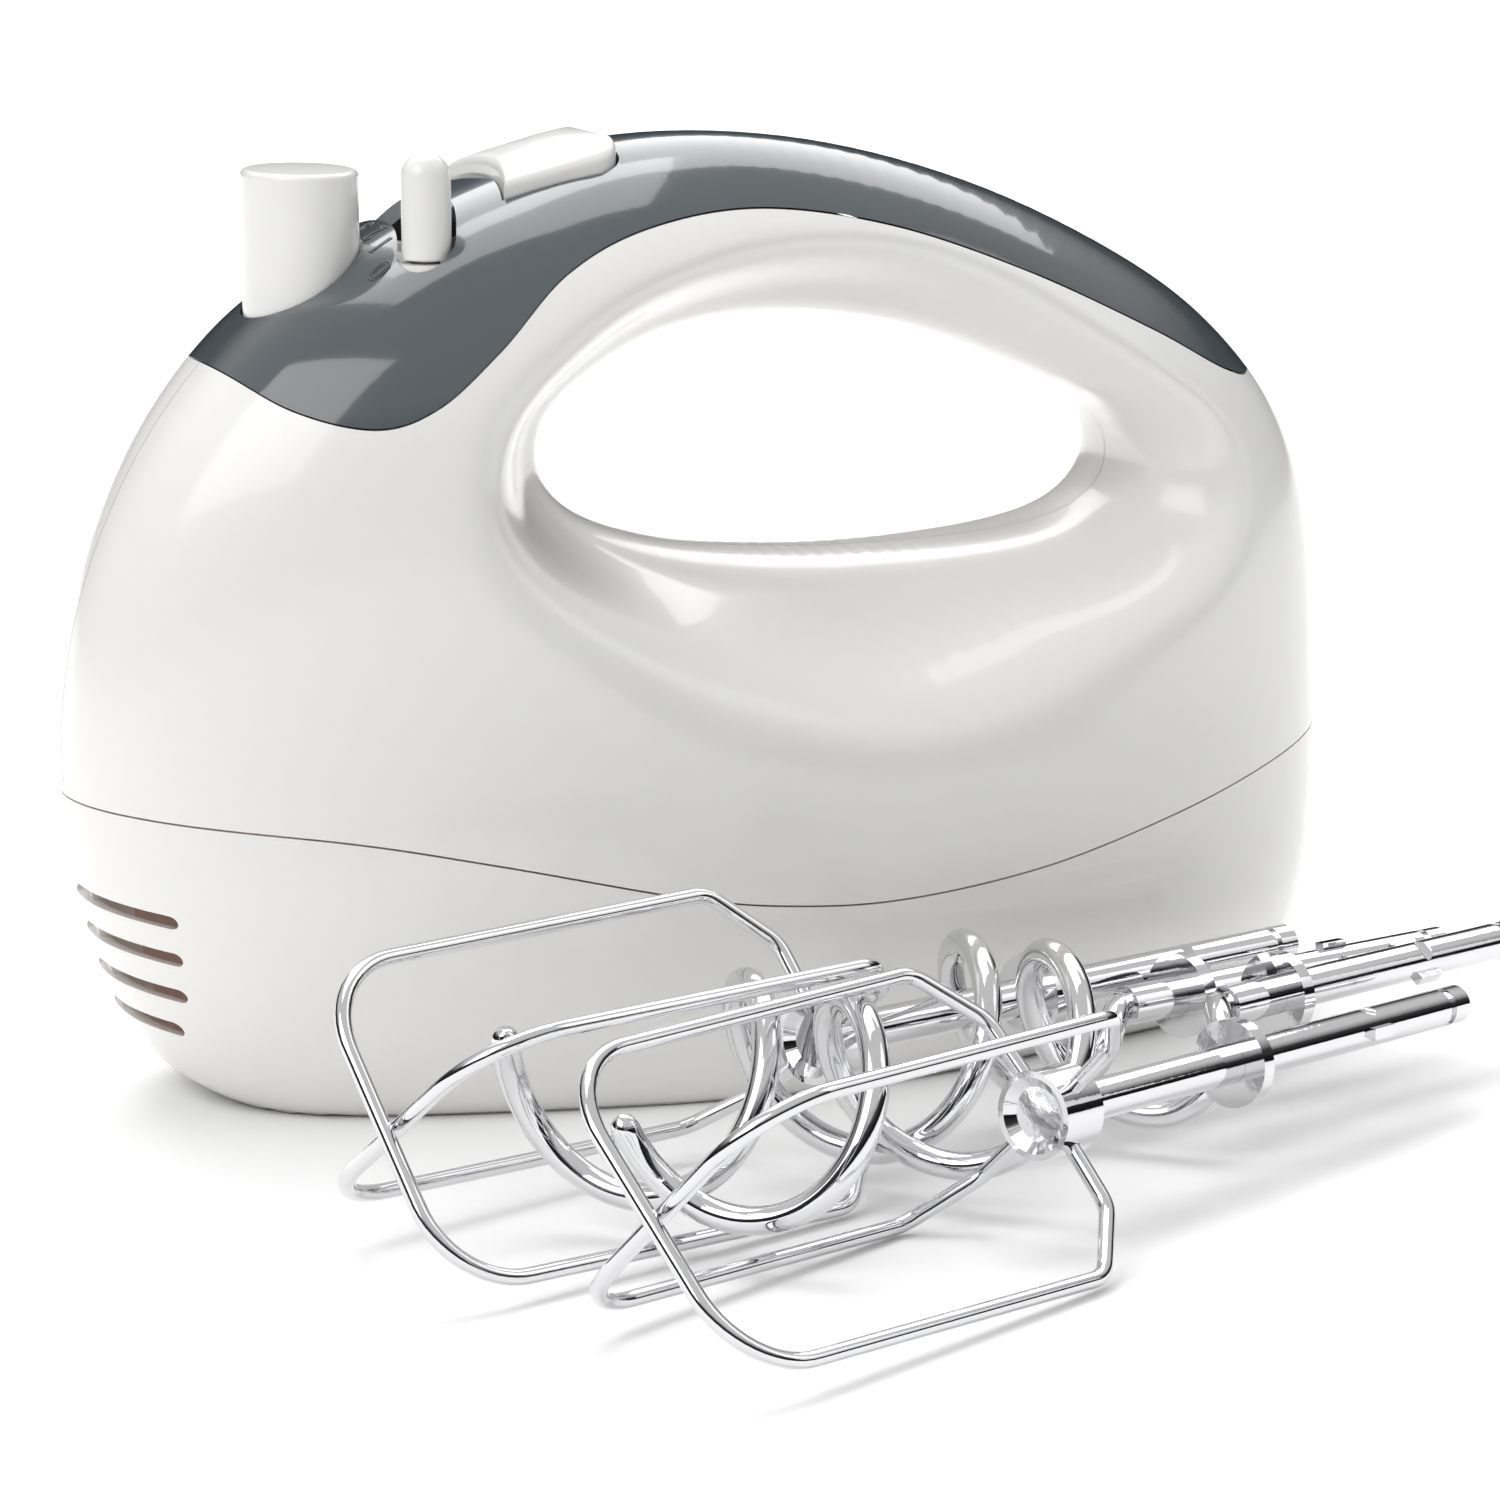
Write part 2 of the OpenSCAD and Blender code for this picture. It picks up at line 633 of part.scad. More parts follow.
// ---- Electrics -------------------------------------------------------------
module circuit_board() {
    color("#3f6b45") translate([62, -13, 46]) cube([30, 26, 1.6]);
    color(black) translate([70, -4, 47.6]) cylinder(r = 5, h = 9);
    color(nylon) translate([78, -9, 47.6]) cube([9, 18, 7]);
}
// Leads run from the board up the rear pillar and along the handle
lead_route = [[84, 0, 58], [88, 0, 72], [88, 0, 94], [78, 0, 111], [56, 0, 123], [30, 0, 131], [4, 0, 133],
    [-12, 0, 130], [-19, 0, 123]];
module wiring() {
    path = open_curve(lead_route, 5);
    sides = 6;
    n = len(path);
    for (y = [-3, 3]) color(y > 0 ? "#7a4a32" : "#2f4d86")
        sweep_skin([for (i = [0 : n - 1], k = [0 : sides - 1])
            let (d = path[min(i + 1, n - 1)] - path[max(i - 1, 0)], u = d / norm(d), w = [0, 1, 0],
                v = cross(u, w), a = k * 360 / sides)
            path[i] + [0, y, 0] + 1.1 * (cos(a) * w + sin(a) * v)], n, sides);
}

// ---- Attachments -----------------------------------------------------------
// Each lies with its own axis along +X, shank end last: [place, [roll, tilt, yaw]]
beater_front = [[-6, -126, 20], [-0.6, 2.2, 25.3]];
beater_rear = [[-23.2, -83.8, 21.8], [5.8, 1.3, 19.4]];
hook_front = [[62.5, -77.4, 19.9], [36, 0.8, 20.6]];
hook_rear = [[50.7, -68.4, 18.7], [83.7, 1.1, 16.6]];
shank_r = shank_d / 2;
shank_end = 110;
collar_x = 52.5;
hub_x0 = 6;
hub_x1 = 14;
hub_r = 6.4;
spoke_x = 9.5;
spoke_bend = [9, 16.2];
cage_corner_x = 0;
cage_tip_x = -69.4;
cage_end_r = 13;
collar_r = 6.6;
lug_x = 85;
groove_x = 104;

module lie(pose) {
    translate(pose[0]) rotate(pose[1]) children();
}
// A shank from x0 to x1 with two drive lugs, a groove and a rounded end
module shank(x0, x1, lugs, groove) {
    difference() {
        union() {
            round_bar(x0, x1 - 1, shank_r, 0, 0);
            translate([x1 - 1, 0, 0]) rotate([0, 90, 0]) cylinder(r1 = shank_r, r2 = shank_r - 0.7, h = 1);
            for (s = [-1, 1]) translate([lugs - 2.5, s * (shank_r + 0.2) - 0.8, -0.9])
                cube([5, 1.6, 1.8]);
        }
        translate([groove, 0, 0]) rotate([0, 90, 0]) ring(shank_r + 1, shank_r - 0.5, 1.4);
        for (s = [-1, 1]) translate([lugs, 0, s * (shank_r + 0.9)]) rotate([90, 0, 0])
            translate([0, 0, -5]) cylinder(r = 1.6, h = 10);
    }
}
module collar(x) {
    translate([x - 1.2, 0, 0]) rotate([0, 90, 0]) ring(collar_r, shank_r + 0.02, 2.4);
}
// Points round the corner b on the way from a to c
function fillet(a, b, c, r, n) =
    let (p = b + r * (a - b) / norm(a - b), q = b + r * (c - b) / norm(c - b))
    [for (i = [0 : n]) let (t = i / n) (1 - t) * (1 - t) * p + 2 * t * (1 - t) * b + t * t * q];
// One wire loop from one side of the hub round the tip to the other side, in the plane through the axis
module cage_loop(tip_x) {
    sides = 8;
    side_r = cage_r - 1;
    corner = [cage_corner_x, cage_r];
    arc_x = tip_x + cage_end_r;
    arc_r = side_r - cage_end_r;
    half = concat([[spoke_x, hub_r - 1.8]], fillet([spoke_x, hub_r], spoke_bend, corner, 1.5, 2),
        fillet(spoke_bend, corner, [arc_x, side_r], 2.5, 4),
        [for (a = [90 : 18 : 180]) [arc_x + cage_end_r * cos(a), arc_r + cage_end_r * sin(a)]]);
    m = len(half);
    path = concat(half, [for (i = [m - 1 : -1 : 0]) [half[i][0], -half[i][1]]]);
    n = len(path);
    sweep_skin([for (i = [0 : n - 1], k = [0 : sides - 1])
        let (d = path[min(i + 1, n - 1)] - path[max(i - 1, 0)], u = d / norm(d), a = k * 360 / sides,
            c = beater_wire_d / 2 * cos(a))
        [path[i][0] - c * u[1], -beater_wire_d / 2 * sin(a), path[i][1] + c * u[0]]], n, sides);
}
module beater_shaft(pose) {
    color(steel) lie(pose) shank(hub_x0 + 2, shank_end, lug_x, groove_x);
}
module beater_collar(pose) {
    color(steel) lie(pose) collar(collar_x);
}
module beater_hub(pose) {
    color(steel) lie(pose) difference() {
        round_bar(hub_x0, hub_x1, hub_r, 0, 0);
        round_bar(hub_x0 + 2, hub_x1 + 1, shank_r + 0.02, 0, 0);
        translate([hub_x0 - eps, 0, 0]) rotate([0, 90, 0])
            cylinder(r1 = hub_r - 0.9, r2 = hub_r - 2.4, h = 1.2);
        for (k = [0 : 3]) rotate([45 + 90 * k, 0, 0]) translate([spoke_x, 0, hub_r - 2])
            cylinder(r = beater_wire_d / 2 + 0.03, h = 6);
    }
}
module beater_wires(pose) {
    color(steel) lie(pose) for (k = [0, 1]) rotate([45 + 90 * k, 0, 0])
        cage_loop(cage_tip_x - k * (beater_wire_d + 0.15));
}
module beater_front_shaft() {
    beater_shaft(beater_front);
}
module beater_front_collar() {
    beater_collar(beater_front);
}
module beater_front_hub() {
    beater_hub(beater_front);
}
module beater_front_wires() {
    beater_wires(beater_front);
}
module beater_rear_shaft() {
    beater_shaft(beater_rear);
}
module beater_rear_collar() {
    beater_collar(beater_rear);
}
module beater_rear_hub() {
    beater_hub(beater_rear);
}
module beater_rear_wires() {
    beater_wires(beater_rear);
}

hook_neck = 12;
hook_length = 122;
hook_r = 14;
hook_pitch = 41.5;
hook_phase = 90;
hook_shank = 57.5;
function hook_point(s) =
    let (g = min((s - hook_neck) / 16, 1), r = hook_r * ease(max(g, 0)),
        a = hook_phase + 360 * (s - hook_neck) / hook_pitch)
    [-s, r * cos(a), r * sin(a)];
module hook_spiral(pose) {
    steps = 66;
    sides = 8;
    r = hook_wire_d / 2;
    path = [for (i = [0 : steps]) hook_point(hook_neck + (hook_length - hook_neck) * i / steps)];
    color(steel) lie(pose) sweep_skin([for (i = [0 : steps], k = [0 : sides - 1])
        let (d = path[min(i + 1, steps)] - path[max(i - 1, 0)], u = d / norm(d),
            w0 = cross([0.2, 0.1, 1], u), w = w0 / norm(w0), v = cross(u, w), a = k * 360 / sides)
        path[i] + r * (cos(a) * w + sin(a) * v)], steps + 1, sides);
}
module hook_shaft(pose) {
    color(steel) lie(pose) shank(-hook_neck + 0.1, hook_shank, 32.5, 51.5);
}
module hook_collar(pose) {
    color(steel) lie(pose) collar(0);
}
module hook_front_shaft() {
    hook_shaft(hook_front);
}
module hook_front_collar() {
    hook_collar(hook_front);
}
module hook_front_spiral() {
    hook_spiral(hook_front);
}
module hook_rear_shaft() {
    hook_shaft(hook_rear);
}
module hook_rear_collar() {
    hook_collar(hook_rear);
}
module hook_rear_spiral() {
    hook_spiral(hook_rear);
}

lower_housing();
upper_housing_left();
upper_housing_right();
top_cover();
speed_slot_plate();
eject_guide();
cord_inlet_grommet();
cord_clamp();
cord_clamp_screws();
housing_screws();
gearbox_frame();
spindle_bushes();
motor_bracket_front();
motor_bracket_rear();
motor_screws();
stator_core();
field_coil_upper();
field_coil_lower();
armature_bushes();
brush_holders();
carbon_brushes();
brush_springs();
speed_switch();
turbo_switch();
circuit_board();
wiring();
eject_button();
ejector_bar();
eject_spring();
speed_lever();
speed_slider();
turbo_button();
turbo_spring();
armature_shaft();
armature_core();
armature_windings();
commutator();
cooling_fan();
drive_gear_left();
drive_sleeve_left();
drive_gear_right();
drive_sleeve_right();
beater_front_shaft();
beater_front_collar();
beater_front_hub();
beater_front_wires();
beater_rear_shaft();
beater_rear_collar();
beater_rear_hub();
beater_rear_wires();
hook_front_shaft();
hook_front_collar();
hook_front_spiral();
hook_rear_shaft();
hook_rear_collar();
hook_rear_spiral();
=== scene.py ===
"""Hand mixer with its beaters and dough hooks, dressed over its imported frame."""

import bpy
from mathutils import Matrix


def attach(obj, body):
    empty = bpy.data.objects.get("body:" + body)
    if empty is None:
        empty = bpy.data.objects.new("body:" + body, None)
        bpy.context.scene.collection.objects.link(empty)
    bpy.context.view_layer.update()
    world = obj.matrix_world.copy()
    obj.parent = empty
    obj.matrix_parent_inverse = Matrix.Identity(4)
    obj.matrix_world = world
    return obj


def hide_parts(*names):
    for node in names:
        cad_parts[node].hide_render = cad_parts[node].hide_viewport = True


bl_info = {
    "name": "Hand Mixer",
    "version": (1, 0, 0),
    "blender": (4, 5, 0),
    "location": "3D View > Sidebar > Mixer",
    "description": "Builds a hand mixer's visible pieces and finishes on its packed frame",
    "category": "Object",
}

import math
from bisect import bisect_right

import bmesh
import bpy
from bpy.props import FloatProperty, FloatVectorProperty, IntProperty, PointerProperty
from mathutils import Euler, Matrix, Vector

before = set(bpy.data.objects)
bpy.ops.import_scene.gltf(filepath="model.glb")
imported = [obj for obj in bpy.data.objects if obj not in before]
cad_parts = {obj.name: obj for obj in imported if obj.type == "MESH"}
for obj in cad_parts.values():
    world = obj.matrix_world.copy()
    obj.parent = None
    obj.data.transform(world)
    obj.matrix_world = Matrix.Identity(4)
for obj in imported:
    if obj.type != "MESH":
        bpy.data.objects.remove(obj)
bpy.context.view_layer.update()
MM = 0.001

# ---- Form of the housing, in millimetres ------------------------------------
OUTLINE_CENTRE = (0, 60)
HOLE_CENTRE = (16, 100)
OUTLINE = [(106.5, 52), (105.3, 76), (101, 94), (91, 109.5), (74, 123.5), (45, 137.8),
           (14, 146.2), (-16, 147.5), (-42, 141), (-62, 131.5), (-80, 119.5), (-94, 102.5),
           (-103.5, 82), (-107.5, 62), (-107, 46), (-104.3, 30), (-98, 12), (-87, 1.5), (-70, -3),
           (-30, -3), (10, -3), (50, -3), (82, -2), (95.5, 4.5), (102, 16), (105.3, 32)]
HOLE = [(69.5, 94), (67, 87), (58, 82.5), (40, 80.5), (15, 80.5), (-8, 83), (-24, 88.5),
        (-31, 96), (-30, 105), (-21, 112.5), (-9, 117.5), (8, 119), (30, 116), (52, 107.5), (65, 101)]
ROUNDNESS = [(0, 2), (90, 2), (128, 2.8), (180, 2.1), (205, 2.4), (270, 7.5), (335, 2.4), (360, 2)]
HOLE_EDGE = [(0, 8, 19, 22), (90, 11, 13, 17), (180, 11, 14, 17), (270, 8, 17, 21), (360, 8, 19, 22)]
DISH_RISE = 30
BLEND = 12
HALF_WIDTH = 43.5
WALL = 2.2
COVER_SEAM = [(-110, 131), (-96, 122), (-86, 116.5), (-77, 110.5), (-66, 108), (-57, 111),
              (-47, 119), (-35, 129.5), (-20, 135.5), (0, 137.5), (22, 134), (45, 126), (68, 115.5),
              (84, 107.5), (93, 106.5), (110, 112)]
BASE_SEAM = [(-115, 50), (-98, 48.4), (-72, 45.8), (-50, 41.6), (-22, 35), (-5, 32.2),
             (14, 31.4), (40, 34), (65, 39.2), (90, 44.5), (115, 49)]

LEVER_PIVOT_X = -95
LEVER_REACH = 45
LEVER_SWEEP = 42
EJECT_X = -68
EJECT_STEM_X, TURBO_STEM_X = -63, -29
DIGIT_REACH, DIGIT_PITCH, FIRST_DIGIT_Y = 38.2, 6.4, -16
HALVES_GAP = 0.12
SOCKET_X, SOCKET_Y = -56, 18
SCREWS = ((8, -24), (8, 24), (72, -15), (72, 15))
INLET_Z = 24
FLOOR_HALF = 4000
BEATERS = {"beater_front": ((-6, -126, 20), (-0.6, 2.2, 25.3)),
           "beater_rear": ((-23.2, -83.8, 21.8), (5.8, 1.3, 19.4))}
HOOKS = {"hook_front": ((62.5, -77.4, 19.9), (36, 0.8, 20.6)),
         "hook_rear": ((50.7, -68.4, 18.7), (83.7, 1.1, 16.6))}


def spline(a, b, c, d, t):
    return tuple(0.5 * (2 * q + (r - p) * t + (2 * p - 5 * q + 4 * r - s) * t * t
                        + (3 * q - p - 3 * r + s) * t ** 3) for p, q, r, s in zip(a, b, c, d))


def closed_curve(points, steps=8):
    n = len(points)
    return [spline(points[i - 1], points[i], points[(i + 1) % n], points[(i + 2) % n], k / steps)
            for i in range(n) for k in range(steps)]


def open_curve(points, steps=8):
    n = len(points)
    out = [spline(points[max(i - 1, 0)], points[i], points[i + 1], points[min(i + 2, n - 1)], k / steps)
           for i in range(n - 1) for k in range(steps)]
    return out + [points[-1]]


def turn_of(x, z):
    return math.degrees(math.atan2(z, x)) % 360


def ease(t):
    return t * t * (3 - 2 * t)


class Polar:
    """Radius of a closed curve at each angle round a centre."""

    def __init__(self, curve, centre):
        ring = sorted((turn_of(x - centre[0], z - centre[1]), math.hypot(x - centre[0], z - centre[1]))
                      for x, z in curve)
        self.angles = [a - 360 for a, _ in ring] + [a for a, _ in ring] + [a + 360 for a, _ in ring]
        self.radii = [r for _, r in ring] * 3

    def __call__(self, angle):
        i = bisect_right(self.angles, angle)
        a, b = self.angles[i - 1], self.angles[i]
        t = (angle - a) / (b - a) if b > a else 0
        return self.radii[i - 1] * (1 - t) + self.radii[i] * t


def around(table, angle, column=1):
    i = 0
    while i < len(table) - 2 and angle >= table[i + 1][0]:
        i += 1
    t = (angle - table[i][0]) / (table[i + 1][0] - table[i][0])
    return table[i][column] + (table[i + 1][column] - table[i][column]) * ease(t)


OUTLINE_POLAR = Polar(closed_curve(OUTLINE), OUTLINE_CENTRE)
OUTLINE_FROM_HOLE = Polar(closed_curve(OUTLINE), HOLE_CENTRE)
HOLE_POLAR = Polar(closed_curve(HOLE), HOLE_CENTRE)


def half_width(x, z, inset=0.0):
    """Half of the housing's width at a point of its side view."""
    dx, dz = x - OUTLINE_CENTRE[0], z - OUTLINE_CENTRE[1]
    a = turn_of(dx, dz)
    rho = min(math.hypot(dx, dz) / (OUTLINE_POLAR(a) - inset), 1)
    k = around(ROUNDNESS, a)
    plain = (HALF_WIDTH - inset) * (1 - rho ** k) ** (1 / k)
    dx, dz = x - HOLE_CENTRE[0], z - HOLE_CENTRE[1]
    a = turn_of(dx, dz)
    d = max(math.hypot(dx, dz) - HOLE_POLAR(a) - inset, 0)
    depth, half, dish = (around(HOLE_EDGE, a, c) for c in (1, 2, 3))
    s = max(1 - d / depth, 0)
    g = max((d - depth / 2) / (dish - depth / 2), 0)
    scoop = (half - inset) * (1 - s ** 2.3) ** (1 / 2.3) + DISH_RISE * g ** 1.5
    soft = min(BLEND, min(plain, scoop) * 0.9 + 0.01)
    h = max(min(0.5 + 0.5 * (scoop - plain) / soft, 1), 0)
    return max(scoop * (1 - h) + plain * h - soft * h * (1 - h), 0)


def top_z(x, y):
    """Height of the housing's upper surface over a point of its plan."""
    high, low = 152.0, 100.0
    for _ in range(26):
        z = (high + low) / 2
        a = turn_of(x - HOLE_CENTRE[0], z - HOLE_CENTRE[1])
        out = math.hypot(x - HOLE_CENTRE[0], z - HOLE_CENTRE[1]) >= OUTLINE_FROM_HOLE(a)
        if out or half_width(x, z) < abs(y):
            high = z
        else:
            low = z
    return low


# ---- Mesh helpers ------------------------------------------------------------
def new_object(name, verts, faces, smooth=40.0):
    """A mesh object from points in millimetres."""
    mesh = bpy.data.meshes.new(name)
    mesh.from_pydata([Vector(v) * MM for v in verts], [], faces)
    mesh.validate()
    mesh.update()
    obj = bpy.data.objects.new(name, mesh)
    bpy.context.scene.collection.objects.link(obj)
    shade(obj, smooth)
    return obj


def shade(obj, angle):
    obj.data.shade_smooth()
    obj.data.set_sharp_from_angle(angle=math.radians(angle))


def tidy_normals(obj):
    bm = bmesh.new()
    bm.from_mesh(obj.data)
    bmesh.ops.recalc_face_normals(bm, faces=bm.faces)
    bm.to_mesh(obj.data)
    bm.free()


def cut(obj, cutter, operation="DIFFERENCE"):
    """Applies one boolean and removes the cutter."""
    mod = obj.modifiers.new("cut", "BOOLEAN")
    mod.operation = operation
    mod.solver = "MANIFOLD"
    mod.object = cutter
    bake(obj)
    bpy.data.objects.remove(cutter, do_unlink=True)


def keep_side(obj, sign, gap):
    """Cuts a shell along the middle plane and keeps one side of it."""
    bm = bmesh.new()
    bm.from_mesh(obj.data)
    bmesh.ops.bisect_plane(bm, geom=bm.verts[:] + bm.edges[:] + bm.faces[:], dist=1e-7,
                           plane_co=(0, sign * gap / 2, 0), plane_no=(0, -sign, 0), clear_outer=True)
    bm.to_mesh(obj.data)
    bm.free()
    return obj


def bake(obj):
    """Applies an object's modifiers to its mesh."""
    graph = bpy.context.evaluated_depsgraph_get()
    graph.update()
    mesh = bpy.data.meshes.new_from_object(obj.evaluated_get(graph))
    obj.modifiers.clear()
    old = obj.data
    obj.data = mesh
    bpy.data.meshes.remove(old)


def prism(name, outline, low, high, axis="Y"):
    """An outline extruded along Y (points are x, z) or Z (points are x, y)."""
    n = len(outline)
    if axis == "Y":
        ends = [[(x, y, z) for x, z in outline] for y in (low, high)]
    else:
        ends = [[(x, y, z) for x, y in outline] for z in (low, high)]
    faces = [tuple(range(n)), tuple(range(2 * n - 1, n - 1, -1))]
    faces += [(i, (i + 1) % n, n + (i + 1) % n, n + i) for i in range(n)]
    obj = new_object(name, ends[0] + ends[1], faces)
    tidy_normals(obj)
    return obj


def lathe(name, profile, steps=48):
    """A closed solid of revolution about X from (x, radius) pairs; radius 0 closes an end."""
    verts, rings = [], []
    for x, r in profile:
        if r == 0:
            rings.append([len(verts)])
            verts.append((x, 0, 0))
        else:
            rings.append(list(range(len(verts), len(verts) + steps)))
            verts += [(x, r * math.cos(math.tau * k / steps), r * math.sin(math.tau * k / steps))
                      for k in range(steps)]
    faces = []
    for a, b in zip(rings, rings[1:]):
        for k in range(steps):
            j = (k + 1) % steps
            if len(a) == 1:
                faces.append((a[0], b[k], b[j]))
            elif len(b) == 1:
                faces.append((a[k], b[0], a[j]))
            else:
                faces.append((a[k], b[k], b[j], a[j]))
    obj = new_object(name, verts, faces, 35)
    tidy_normals(obj)
    return obj


def tube(name, path, radius, sides=18):
    """A round wire along a path, with its frame carried from ring to ring."""
    pts = [Vector(p) for p in path]
    n = len(pts)
    verts, side = [], None
    for i, p in enumerate(pts):
        along = (pts[min(i + 1, n - 1)] - pts[max(i - 1, 0)]).normalized()
        if side is None:
            side = along.orthogonal().normalized()
        side = (side - along * side.dot(along)).normalized()
        up = along.cross(side)
        r = radius(i / (n - 1)) if callable(radius) else radius
        verts += [p + r * (math.cos(math.tau * k / sides) * side + math.sin(math.tau * k / sides) * up)
                  for k in range(sides)]
    faces = [(i * sides + k, i * sides + (k + 1) % sides, (i + 1) * sides + (k + 1) % sides,
              (i + 1) * sides + k) for i in range(n - 1) for k in range(sides)]
    faces += [tuple(range(sides - 1, -1, -1)), tuple(range((n - 1) * sides, n * sides))]
    obj = new_object(name, verts, faces, 50)
    tidy_normals(obj)
    return obj


def join(name, objects, smooth=40.0):
    """One object from several, in place."""
    bm = bmesh.new()
    for o in objects:
        part = o.data.copy()
        part.transform(o.matrix_world)
        bm.from_mesh(part)
        bpy.data.meshes.remove(part)
    mesh = bpy.data.meshes.new(name)
    bm.to_mesh(mesh)
    bm.free()
    for o in objects:
        bpy.data.objects.remove(o, do_unlink=True)
    obj = bpy.data.objects.new(name, mesh)
    bpy.context.scene.collection.objects.link(obj)
    shade(obj, smooth)
    return obj


def stand_up(obj, x, y=0):
    """Turns a piece made along X upright, over a point of the plan in millimetres."""
    place = Matrix.Translation(Vector((x, y, 0)) * MM)
    obj.data.transform(place @ Matrix.Rotation(math.radians(-90), 4, "Y"))


def lie_down(obj, pose):
    """Turns a piece made along X to where its attachment lies."""
    place, turn = pose
    rotation = Euler([math.radians(a) for a in turn], "XYZ").to_matrix().to_4x4()
    obj.data.transform(Matrix.Translation(Vector(place) * MM) @ rotation)
    obj.data.update()
    return obj


def fillet(a, b, c, r, n):
    """Points round the corner b on the way from a to c."""
    a, b, c = Vector(a), Vector(b), Vector(c)
    p, q = b + r * (a - b).normalized(), b + r * (c - b).normalized()
    return [(1 - t) ** 2 * p + 2 * t * (1 - t) * b + t * t * q for t in (i / n for i in range(n + 1))]


# ---- Materials ---------------------------------------------------------------
def node_group(name, inputs, outputs):
    group = bpy.data.node_groups.new(name, "ShaderNodeTree")
    for label, value in inputs:
        kind = "NodeSocketColor" if isinstance(value, tuple) else "NodeSocketFloat"
        socket = group.interface.new_socket(label, in_out="INPUT", socket_type=kind)
        socket.default_value = (*value, 1) if isinstance(value, tuple) else value
    for label, kind in outputs:
        group.interface.new_socket(label, in_out="OUTPUT", socket_type=kind)
    return group, group.nodes.new("NodeGroupInput"), group.nodes.new("NodeGroupOutput")


def moulding_group():
    """Fine moulded texture, faint waviness and a little dust for plastic."""
    group, inp, out = node_group(
        "moulded_surface",
        [("Color", (0.9, 0.9, 0.9)), ("Tint", (0.8, 0.78, 0.72)), ("Tint Amount", 0.05),
         ("Roughness", 0.2), ("Roughness Spread", 0.08), ("Grain Scale", 900.0)],
        [("Color", "NodeSocketColor"), ("Roughness", "NodeSocketFloat"), ("Height", "NodeSocketFloat")])
    n, link = group.nodes, group.links.new
    place = n.new("ShaderNodeTexCoord")
    cloud = n.new("ShaderNodeTexNoise")
    cloud.inputs["Scale"].default_value = 14
    cloud.inputs["Detail"].default_value = 4
    grain = n.new("ShaderNodeTexNoise")
    grain.inputs["Detail"].default_value = 2
    link(place.outputs["Object"], cloud.inputs["Vector"])
    link(place.outputs["Object"], grain.inputs["Vector"])
    link(inp.outputs["Grain Scale"], grain.inputs["Scale"])
    amount = n.new("ShaderNodeMath")
    amount.operation = "MULTIPLY"
    link(cloud.outputs["Fac"], amount.inputs[0])
    link(inp.outputs["Tint Amount"], amount.inputs[1])
    mix = n.new("ShaderNodeMix")
    mix.data_type = "RGBA"
    link(amount.outputs[0], mix.inputs["Factor"])
    link(inp.outputs["Color"], mix.inputs["A"])
    link(inp.outputs["Tint"], mix.inputs["B"])
    link(mix.outputs["Result"], out.inputs["Color"])
    rough = n.new("ShaderNodeMath")
    rough.operation = "MULTIPLY_ADD"
    link(cloud.outputs["Fac"], rough.inputs[0])
    link(inp.outputs["Roughness Spread"], rough.inputs[1])
    link(inp.outputs["Roughness"], rough.inputs[2])
    link(rough.outputs[0], out.inputs["Roughness"])
    link(grain.outputs["Fac"], out.inputs["Height"])
    return group


def metal_group():
    """Fine drawn lines, smudges and colour drift for metal."""
    group, inp, out = node_group(
        "metal_surface",
        [("Color", (0.8, 0.8, 0.8)), ("Smudge Color", (0.55, 0.55, 0.56)), ("Smudge Amount", 0.2),
         ("Roughness", 0.1), ("Roughness Spread", 0.12), ("Line Scale", 600.0)],
        [("Color", "NodeSocketColor"), ("Roughness", "NodeSocketFloat"), ("Height", "NodeSocketFloat")])
    n, link = group.nodes, group.links.new
    place = n.new("ShaderNodeTexCoord")
    smudge = n.new("ShaderNodeTexNoise")
    smudge.inputs["Scale"].default_value = 60
    smudge.inputs["Detail"].default_value = 5
    lines = n.new("ShaderNodeTexNoise")
    lines.inputs["Detail"].default_value = 3
    link(place.outputs["Object"], smudge.inputs["Vector"])
    link(place.outputs["Object"], lines.inputs["Vector"])
    link(inp.outputs["Line Scale"], lines.inputs["Scale"])
    sharp = n.new("ShaderNodeMapRange")
    sharp.inputs["From Min"].default_value = 0.45
    sharp.inputs["From Max"].default_value = 0.75
    link(smudge.outputs["Fac"], sharp.inputs["Value"])
    amount = n.new("ShaderNodeMath")
    amount.operation = "MULTIPLY"
    link(sharp.outputs["Result"], amount.inputs[0])
    link(inp.outputs["Smudge Amount"], amount.inputs[1])
    mix = n.new("ShaderNodeMix")
    mix.data_type = "RGBA"
    link(amount.outputs[0], mix.inputs["Factor"])
    link(inp.outputs["Color"], mix.inputs["A"])
    link(inp.outputs["Smudge Color"], mix.inputs["B"])
    link(mix.outputs["Result"], out.inputs["Color"])
    rough = n.new("ShaderNodeMath")
    rough.operation = "MULTIPLY_ADD"
    link(sharp.outputs["Result"], rough.inputs[0])
    link(inp.outputs["Roughness Spread"], rough.inputs[1])
    link(inp.outputs["Roughness"], rough.inputs[2])
    link(rough.outputs[0], out.inputs["Roughness"])
    link(lines.outputs["Fac"], out.inputs["Height"])
    return group


